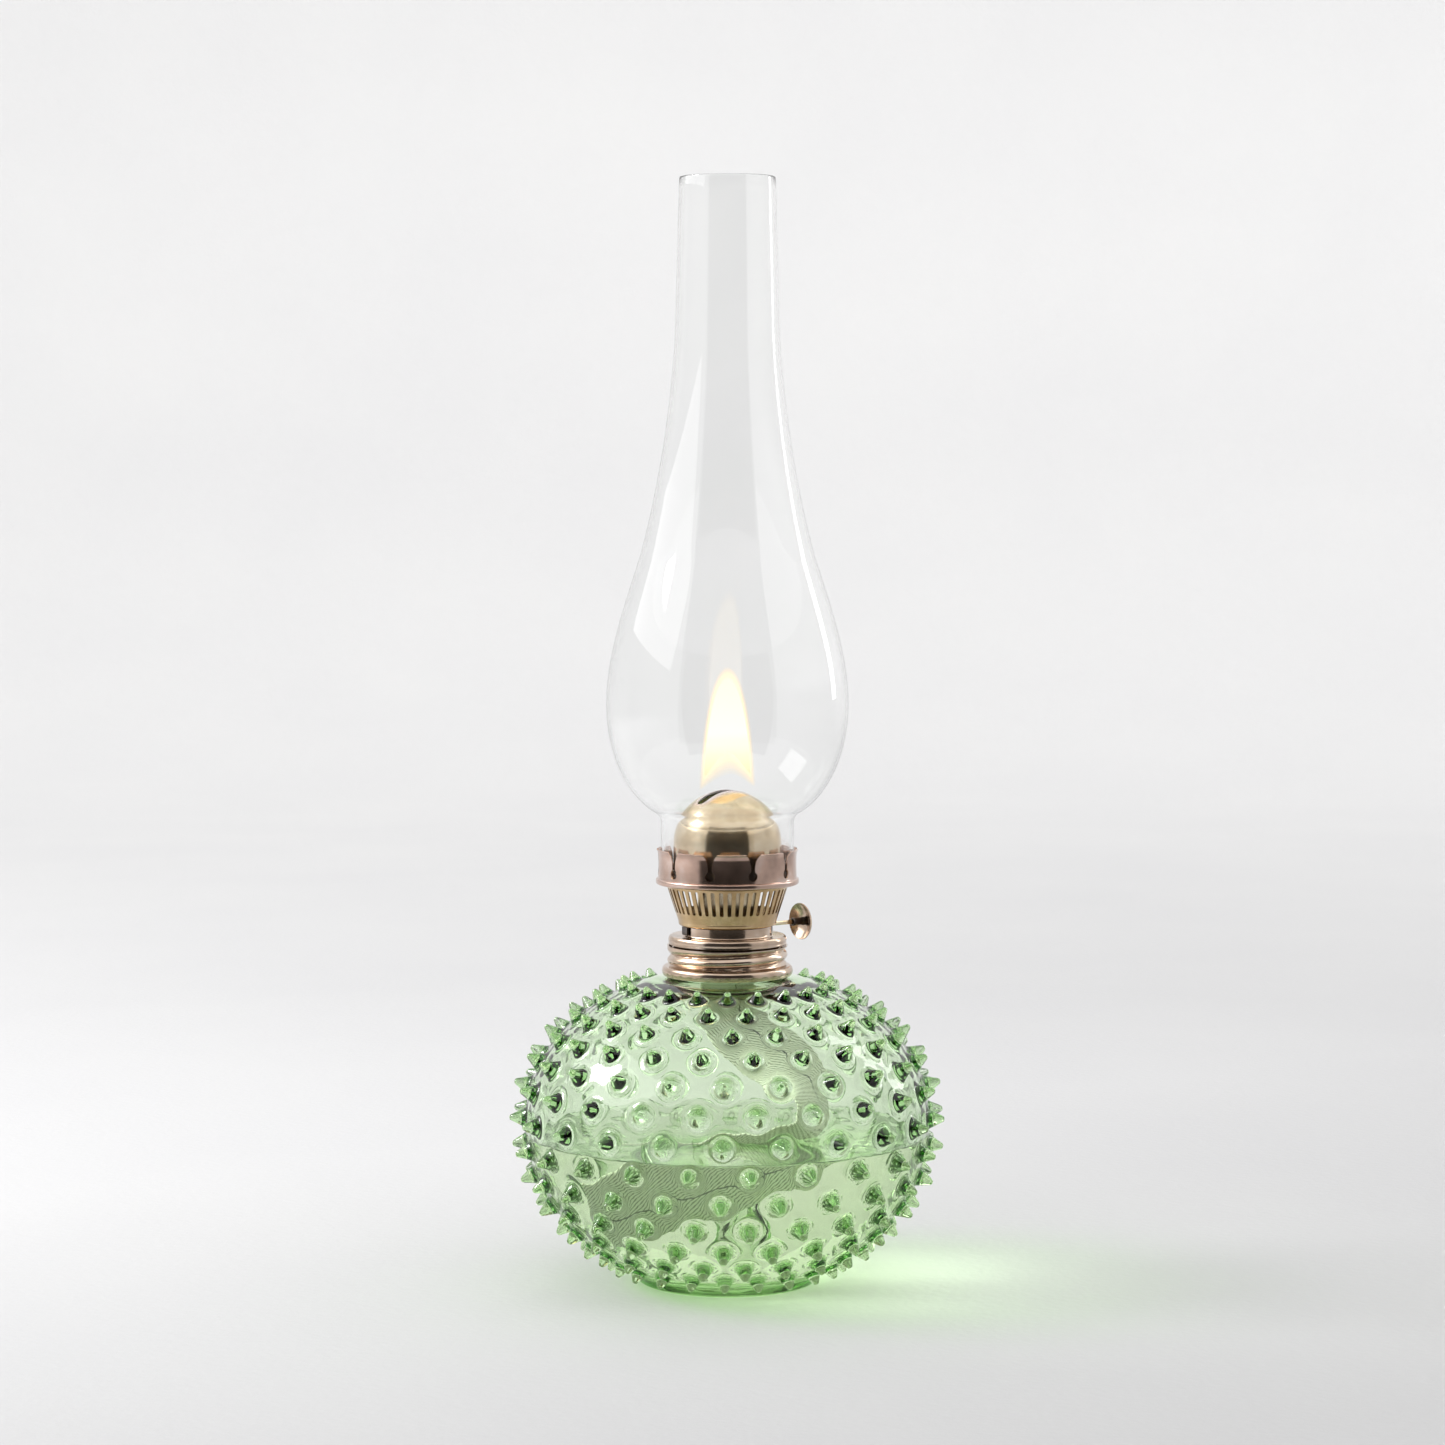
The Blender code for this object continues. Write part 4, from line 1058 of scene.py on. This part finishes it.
def gallery(material):
    """A floor, a bead, and sprung prongs between keyholes."""
    hole_level, hole_radius, neck_half, waist_level = 160.1, 1.9, 0.85, 162.5

    def half_gap(level):
        """Half the width of the keyhole at a height."""
        if level <= hole_level - hole_radius:
            return 0.0
        below = level - hole_level
        disc = sqrt(max(0.0, hole_radius ** 2 - below ** 2))
        if below <= 0:
            return disc
        rising = max(0.0, (level - waist_level) / (GALLERY_TOP - waist_level))
        return max(disc, neck_half + 2.1 * rising ** 2.6)

    floor = rounded([
        (21.3, GALLERY_FLOOR), (GALLERY_RADIUS, GALLERY_FLOOR), (GALLERY_RADIUS, 156.9),
        (26.9, 157.28),
    ], 0.8, 4)
    lower_levels = [157.7, 158.0, 158.2, *(158.2 + 0.24 * i for i in range(1, 17))]
    upper_levels = [*(162.4 + 0.42 * i for i in range(13)), 167.8, 168.05, GALLERY_TOP - 0.1]

    def wall(level):
        """The prongs lean in to a waist and flare at their tips."""
        lean = ((level - waist_level) / (GALLERY_TOP - waist_level)) ** 2
        return GALLERY_WAIST + 0.25 * lean + 0.6 * max(0.0, (level - 166.2) / 2.1) ** 2

    outline = [*floor, *((wall(z), z) for z in [*lower_levels, *upper_levels])]
    inside = offset_sheet(outline, SHEET)
    rim = (outline[-1][0] - SHEET / 2, GALLERY_TOP + 0.12)
    outline.append(rim)
    inside.append(rim)
    per_prong = 17
    pitch = 360 / PRONGS

    def side(loop):
        def place(row, column):
            number, i = divmod(column, per_prong)
            level = loop[row][1] if loop[row] is not rim else GALLERY_TOP
            half = half_gap(level) / GALLERY_RADIUS * 180 / pi
            start = PRONG_TURN - pitch / 2 + pitch * number + half
            return on_ring(loop[row], start + (pitch - 2 * half) * i / (per_prong - 1))
        return place

    def is_sheet(row, column):
        """The cell after a prong's last point is sheet only below the keyhole."""
        is_prong = column % per_prong < per_prong - 1
        return is_prong or half_gap(outline[row + 1][1]) == 0

    points, faces = shell(side(outline), side(inside), len(outline), per_prong * PRONGS, is_sheet)
    piece("pronged_gallery", points, faces, material, "crown", "rose_bronze", "gallery")


def slot_outline(length, width, points_per_end=16):
    """A slot with round ends along the winder's direction, centred on the axis."""
    reach = (length - width) / 2
    outline = []
    for end in (1, -1):
        for i in range(points_per_end):
            angle = -pi / 2 + pi * i / (points_per_end - 1)
            along = end * (reach + width / 2 * cos(angle))
            outline.append(across_winder(along, end * width / 2 * sin(angle)))
    return outline


def flame_dome(material):
    """A domed spreader on a flange, slotted above the wick."""
    wall = 0.6
    bottom = GALLERY_FLOOR + SHEET + 0.3
    steps = 28
    angles = [pi / 2 * i / steps for i in range(steps + 1)]
    outside = [(DOME_RADIUS * cos(a), DOME_LEVEL + DOME_RADIUS * sin(a)) for a in angles]
    inner = DOME_RADIUS - wall
    inside = [(inner * cos(a), DOME_LEVEL + inner * sin(a)) for a in angles]
    outside[-1] = (0, DOME_LEVEL + DOME_RADIUS)
    inside[-1] = (0, DOME_LEVEL + inner)
    flange = rounded([(inner, bottom), (23.0, bottom), (23.0, bottom + wall),
                      (DOME_RADIUS, bottom + wall), (DOME_RADIUS, DOME_LEVEL - 6)], 0.5, 3)
    outline = [*inside[::-1], *flange, *outside]
    made = turned("burner_dome", outline, 128, material, "crown", "yellow_brass",
                  "flame_dome", closed=False)
    slot = slot_outline(DOME_SLOT_LENGTH, DOME_SLOT_WIDTH)
    count = len(slot)
    levels = (DOME_LEVEL + 8, DOME_LEVEL + DOME_RADIUS + 5)
    cutter = [(x, y, z) for z in levels for x, y in slot]
    sides = [[i, (i + 1) % count, (i + 1) % count + count, i + count] for i in range(count)]
    cut_with(made, cutter, [list(range(count)), list(range(count, 2 * count)), *sides])


# ---------------------------------------------------------------- chimney


def chimney(material):
    """A straight foot, a bulge round the flame and a long flue, blown in one piece."""
    bulge = (CHIMNEY_BULGE_RADIUS, CHIMNEY_BULGE_LEVEL)
    shoulder = (28.6, CHIMNEY_SHOULDER + 1.8)
    waist = (33.6, 281.9)
    flue = (20.2, 364.8)
    outline = [(CHIMNEY_BASE_RADIUS, z) for z in np.linspace(CHIMNEY_BOTTOM + 0.8, 176.8, 8)]
    outline += curve(outline[-1], (CHIMNEY_BASE_RADIUS, 180.0), (26.0, 181.4), shoulder, 14)
    outline += curve(shoulder, (38.0, 188.4), (46.9, 204), bulge, 34)
    outline += curve(bulge, (46.8, 244.5), (38.5, 266.2), waist, 22)
    outline += curve(waist, (26.9, 306.6), (22.1, 335.5), flue, 22)
    top = (CHIMNEY_TOP_RADIUS, CHIMNEY_TOP - 0.8)
    outline += [tuple(np.array(flue) * (1 - t) + np.array(top) * t)
                for t in np.linspace(0, 1, 14)[1:]]
    inside = offset_sheet(outline, CHIMNEY_WALL)
    half = CHIMNEY_WALL / 2

    def lip(outer_end, level, way):
        """A fire-polished edge between the outside and the inside."""
        middle = outer_end[0] - half
        return [(middle + half * cos(a), level + way * half * sin(a))
                for a in np.linspace(0, pi, 9)[1:-1]]

    upper = lip(outline[-1], outline[-1][1], 1)
    lower = lip(outline[0], outline[0][1], -1)[::-1]
    loop = [*outline, *upper, *inside[::-1], *lower]
    turned("glass_chimney", loop, 144, material, "chimney", "clear_glass", "chimney", sharp=0)


# ---------------------------------------------------------------- wick and flame


def wick_stations():
    """Centre and half-width direction along the wick, from its lit end to its tail."""
    side = (*across_winder(1, 0), 0)
    return [
        ((0, 0, WICK_TOP), side),
        ((0, 0, 150), side),
        ((0, 0, 114.2), side),
        ((0.6, -0.5, 108), (0.90, 0.43, 0.02)),
        ((4, -2, 99), (0.93, 0.30, 0.20)),
        ((13, -5, 92), (0.84, 0.22, 0.50)),
        ((23, -9, 85), (0.74, 0.38, 0.55)),
        ((31, -14, 76), (0.55, 0.80, 0.20)),
        ((32, -17, 67), (0.42, 0.90, -0.10)),
        ((28, -19, 60), (0.32, 0.85, -0.42)),
        ((17, -20, 55.5), (0.26, 0.70, -0.66)),
        ((3, -19, 51.5), (0.28, 0.62, -0.73)),
        ((-12, -17, 47.5), (0.30, 0.60, -0.74)),
        ((-26, -14, 43.5), (0.30, 0.60, -0.74)),
        ((-40, -10, 38.5), (0.32, 0.60, -0.73)),
    ]


def smooth_path(points, steps):
    """A smooth curve through points, as steps points an equal distance apart."""
    points = np.array(points, float)
    padded = np.vstack([2 * points[0] - points[1], points, 2 * points[-1] - points[-2]])
    fine = []
    for i in range(1, len(padded) - 2):
        p0, p1, p2, p3 = padded[i - 1:i + 3]
        for t in np.linspace(0, 1, 40, endpoint=False):
            fine.append(0.5 * (2 * p1 + (p2 - p0) * t + (2 * p0 - 5 * p1 + 4 * p2 - p3) * t ** 2
                               + (3 * p1 - p0 - 3 * p2 + p3) * t ** 3))
    fine.append(padded[-2])
    fine = np.array(fine)
    length = np.concatenate([[0], np.cumsum(np.linalg.norm(np.diff(fine[:, :3], axis=0), axis=1))])
    wanted = np.linspace(0, length[-1], steps)
    return np.stack([np.interp(wanted, length, fine[:, k]) for k in range(points.shape[1])], -1)


def wick(material):
    """A flat woven ribbon: thick cords along it, crossed by a fine zigzag of weft."""
    rows, half_columns, cords = 470, 50, 15
    stations = [(*centre, *side) for centre, side in wick_stations()]
    path = smooth_path(stations, rows)
    centres, sides = path[:, :3], path[:, 3:]
    along = np.gradient(centres, axis=0)
    along /= np.linalg.norm(along, axis=1)[:, None]
    sides = sides - along * np.sum(sides * along, axis=1)[:, None]
    sides /= np.linalg.norm(sides, axis=1)[:, None]
    flats = np.cross(along, sides)
    lengths = np.concatenate([[0], np.cumsum(np.linalg.norm(np.diff(centres, axis=0), axis=1))])
    ends = np.minimum(lengths, lengths[-1] - lengths)
    columns = 2 * half_columns
    points, cloth = [], []
    for i in range(rows):
        s = lengths[i]
        blunt = min(1.0, 0.25 + ends[i] / 1.2)
        ravel = 0.25 * sin(s * 2.1) * min(1.0, ends[i] / 3)
        for j in range(columns):
            side = 1 if j < half_columns else -1
            share = (j % half_columns + 0.5) / half_columns
            x = (2 * share - 1) * side
            edge = sqrt(max(0.0, 1 - abs(x) ** 14))
            cord = cos(x * cords * pi) ** 2
            weft = 0.5 + 0.5 * cos(2 * pi * (s / 1.5 + (round(x * cords / 2) % 2) * 0.5))
            thick = WICK_THICKNESS / 2 * (0.55 + 0.36 * cord + 0.16 * weft * cord) * edge * blunt
            wide = x * (WICK_WIDTH / 2 + ravel * 0.6)
            points.append(centres[i] + sides[i] * wide + flats[i] * thick * side)
            cloth.append(((x + 1) / 2, s / WICK_WIDTH))
    faces = tube_faces(rows, columns)
    faces.append(list(range(columns)))
    faces.append(list(range((rows - 1) * columns, rows * columns)))
    made = piece("woven_wick", points, faces, material, None, "wick_cotton", "flat_wick",
                 sharp=0, cloth=cloth)
    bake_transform(made)


def flame_shell(name, size, lift, arch_height, material):
    """One closed shell of a flat flame in the wick's plane, arched at its foot."""
    base, tip, half_width, half_depth = 191.9, 238.6, 12.9, 3.6
    rows, columns = 40, 40
    low = base + 6 * (1 - size)
    top = base + (tip - base) * lift
    points = []
    for i in range(rows + 1):
        t = 0.5 - 0.5 * cos(pi * i / rows)
        # The width falls slowly from the foot, then rounds in to a soft point.
        share = (1 - t) ** 0.5 * (1 + 0.33 * t)
        for j in range(columns):
            angle = 2 * pi * j / columns
            x = half_width * size * share * cos(angle)
            y = half_depth * size * share * sin(angle)
            # The foot is a tall arch that stands clear of the slot.
            arch = arch_height * max(0.0, 1 - (x / half_width) ** 2) * (1 - t) ** 2.5
            points.append((*across_winder(x, y), low + (top - low) * t + arch))
    faces = tube_faces(rows + 1, columns)
    for j in range(columns // 2):
        there = (columns - j) % columns
        foot_face = (j, there, columns - j - 1, j + 1)
        faces.append(tuple(dict.fromkeys(foot_face)))
    piece(name, points, faces, material, "crown", None, sharp=0)


def flame():
    """Shells that each add a little light, from a warm rim in to a white core."""
    rim = np.array([(1.0, 0.68, 0.42), (1.0, 0.66, 0.32), (1.0, 0.64, 0.34)])
    heart = np.array([(1.0, 0.85, 0.60), (1.0, 0.93, 0.75), (1.0, 0.88, 0.62)])
    shells = 8
    for number in range(shells):
        inward = number / (shells - 1)
        tones = rim * (1 - inward) + heart * inward
        # Less light at the foot leaves its arch yellow.
        tones[0] *= 0.35
        tones[1] *= 0.8
        colours = list(zip((0.0, 0.3, 1.0), (tuple(tone) for tone in tones)))
        material = glow(f"flame_glow_{number}", colours, 0.03 + 0.05 * inward, 192, 238, True)
        flame_shell(f"flame_{number}", 1.0 - 0.15 * inward, 1.0 - 0.09 * inward,
                    6.0 + 6.5 * inward, material)
    white = [(0.0, (0.80, 0.68, 0.50)), (0.2, (0.94, 0.84, 0.62)), (0.45, (1.0, 0.97, 0.88)),
             (1.0, (1.0, 0.93, 0.76))]
    core = glow("flame_core_glow", white, 1.25, 198, 232, False)
    flame_shell("flame_core", 0.83, 0.90, 13.5, core)


# ---------------------------------------------------------------- stage, lights and camera


def stage():
    """A round studio sweep: a pale floor that curves up into a wall on every side."""
    wall_radius, sweep, height = 2.9, 0.9, 1.35
    outline = [(r, 0.0) for r in (0.0, 0.3, 0.8, 1.3, wall_radius - sweep)]
    outline += [(wall_radius - sweep + sweep * sin(a), sweep - sweep * cos(a))
                for a in np.linspace(0, pi / 2, 14)[1:]]
    outline.append((wall_radius, height))
    points, faces = spun([(r / MM, z / MM) for r, z in outline], 96)
    made = piece("studio_sweep", points, faces, studio_paper(), None, None, sharp=0)
    shape = bmesh.new()
    shape.from_mesh(made.data)
    for face in shape.faces:
        centre = face.calc_center_median()
        inward = Vector((-centre.x, -centre.y, 1.0 - centre.z + 0.01))
        if face.normal.dot(inward) < 0:
            face.normal_flip()
    shape.to_mesh(made.data)
    shape.free()


def area_light(name, size, place, aim, watts):
    data = bpy.data.lights.new(name, "AREA")
    data.shape = "RECTANGLE"
    data.size, data.size_y = size
    data.energy = watts
    made = bpy.data.objects.new(name, data)
    made.location = place
    made.rotation_euler = (Vector(aim) - Vector(place)).to_track_quat("-Z", "Y").to_euler()
    made.visible_camera = False
    bpy.context.scene.collection.objects.link(made)
    return made


def polar(distance, turn, height):
    """A place at an angle from the front, turning to the right, in metres."""
    return (distance * sin(radians(turn)), -distance * cos(radians(turn)), height)


def dark_cards():
    """A dark floor and wall before the lamp, seen only as mirrored in its metal and glass."""
    columns, half_turn = 24, 47.0
    near, far, top = 0.5, 1.9, 1.6
    rings = ((near, 0.012), (far, 0.012), (far, top))
    points = []
    for radius, level in rings:
        points += [polar(radius, half_turn * (2 * i / columns - 1), level)
                   for i in range(columns + 1)]
    faces = [(k + i, k + i + 1, k + i + columns + 2, k + i + columns + 1)
             for k in (0, columns + 1) for i in range(columns)]
    material, tree, shader = new_material("black_card")
    shader.inputs["Base Color"].default_value = (0.03, 0.028, 0.026, 1.0)
    shader.inputs["Roughness"].default_value = 0.9
    paths = add(tree, "ShaderNodeLightPath")
    mirrored = add(tree, "ShaderNodeMath", operation="GREATER_THAN")
    join(tree, paths, "Glossy Depth", mirrored, 0)
    clear = add(tree, "ShaderNodeBsdfTransparent")
    surface_of_two(tree, mirrored, "Value", clear, shader)
    made = piece("black_card", [tuple(v / MM for v in p) for p in points], faces, material,
                 None, None, sharp=0)
    made.visible_camera = False
    made.visible_diffuse = False
    made.visible_shadow = False


def lights():
    """Even light from everywhere, a window at the left, and what only shows as a reflection."""
    world = bpy.data.worlds.new("studio")
    world.use_nodes = True
    background = world.node_tree.nodes["Background"]
    background.inputs["Color"].default_value = (1.0, 0.995, 0.99, 1.0)
    background.inputs["Strength"].default_value = 1.12
    bpy.context.scene.world = world
    fount_middle, burner_middle = (0, 0, 0.15), (0, 0, 0.25)
    key = area_light("key_softbox", (0.8, 0.45), polar(*KEY_PLACE), fount_middle, 20)
    key.visible_transmission = False
    cards = [
        area_light("wide_card", (2.0, 1.0), polar(1.40, -88, 1.10), fount_middle, 14),
        area_light("rim_strip", (0.2, 1.2), polar(1.2, 120, 0.75), burner_middle, 3),
    ]
    for card in cards:
        card.visible_diffuse = False
        card.visible_transmission = False
    window_place = (KEY_PLACE[0] - 0.02, *KEY_PLACE[1:])
    window = area_light("window_card", (0.8, 0.5), polar(*window_place), fount_middle, 5)
    window.visible_diffuse = False
    window.visible_glossy = False


def camera():
    """A long lens, looking down a little."""
    data = bpy.data.cameras.new("camera")
    data.sensor_width = 36.0
    data.lens = CAMERA_LENS
    made = bpy.data.objects.new("camera", data)
    made.location = CAMERA_PLACE
    made.rotation_euler = (radians(90 - CAMERA_TILT), 0, 0)
    bpy.context.scene.collection.objects.link(made)
    bpy.context.scene.camera = made


def repaint(finishes):
    """Gives the CAD nodes that stay in view their finishes."""
    for name, material in finishes.items():
        mesh = NODES[name].data
        mesh.materials.clear()
        mesh.materials.append(material)


def main():
    bronze, brass, steel = rose_bronze(), yellow_brass(), dark_steel()
    camera()
    stage()
    dark_cards()
    lights()
    fount(green_glass())
    oil(lamp_oil())
    fount_collar(bronze)
    gasket(cork())
    burner_base(bronze)
    winder_set(steel, brass, bronze)
    air_basket(basket_brass())
    gallery(rose_bronze("gallery_bronze_sheet", (0.54, 0.38, 0.31)))
    flame_dome(heated_brass())
    chimney(clear_glass())
    wick(cotton())
    flame()
    repaint({
        "collar_cement": plaster(), "tube_plate": brass,
        "wick_tube": brass, "wheel_cage": brass, "shaft_bushing": brass,
        "spur_wheel_inner": steel, "spur_wheel_outer": steel,
        "catch_left": steel, "catch_right": steel,
    })
    scene = bpy.context.scene
    scene.view_settings.view_transform = "Standard"
    scene.cycles.max_bounces = 20
    scene.cycles.sample_clamp_indirect = 2.0
    scene.cycles.transmission_bounces = 20
    scene.cycles.transparent_max_bounces = 24


main()
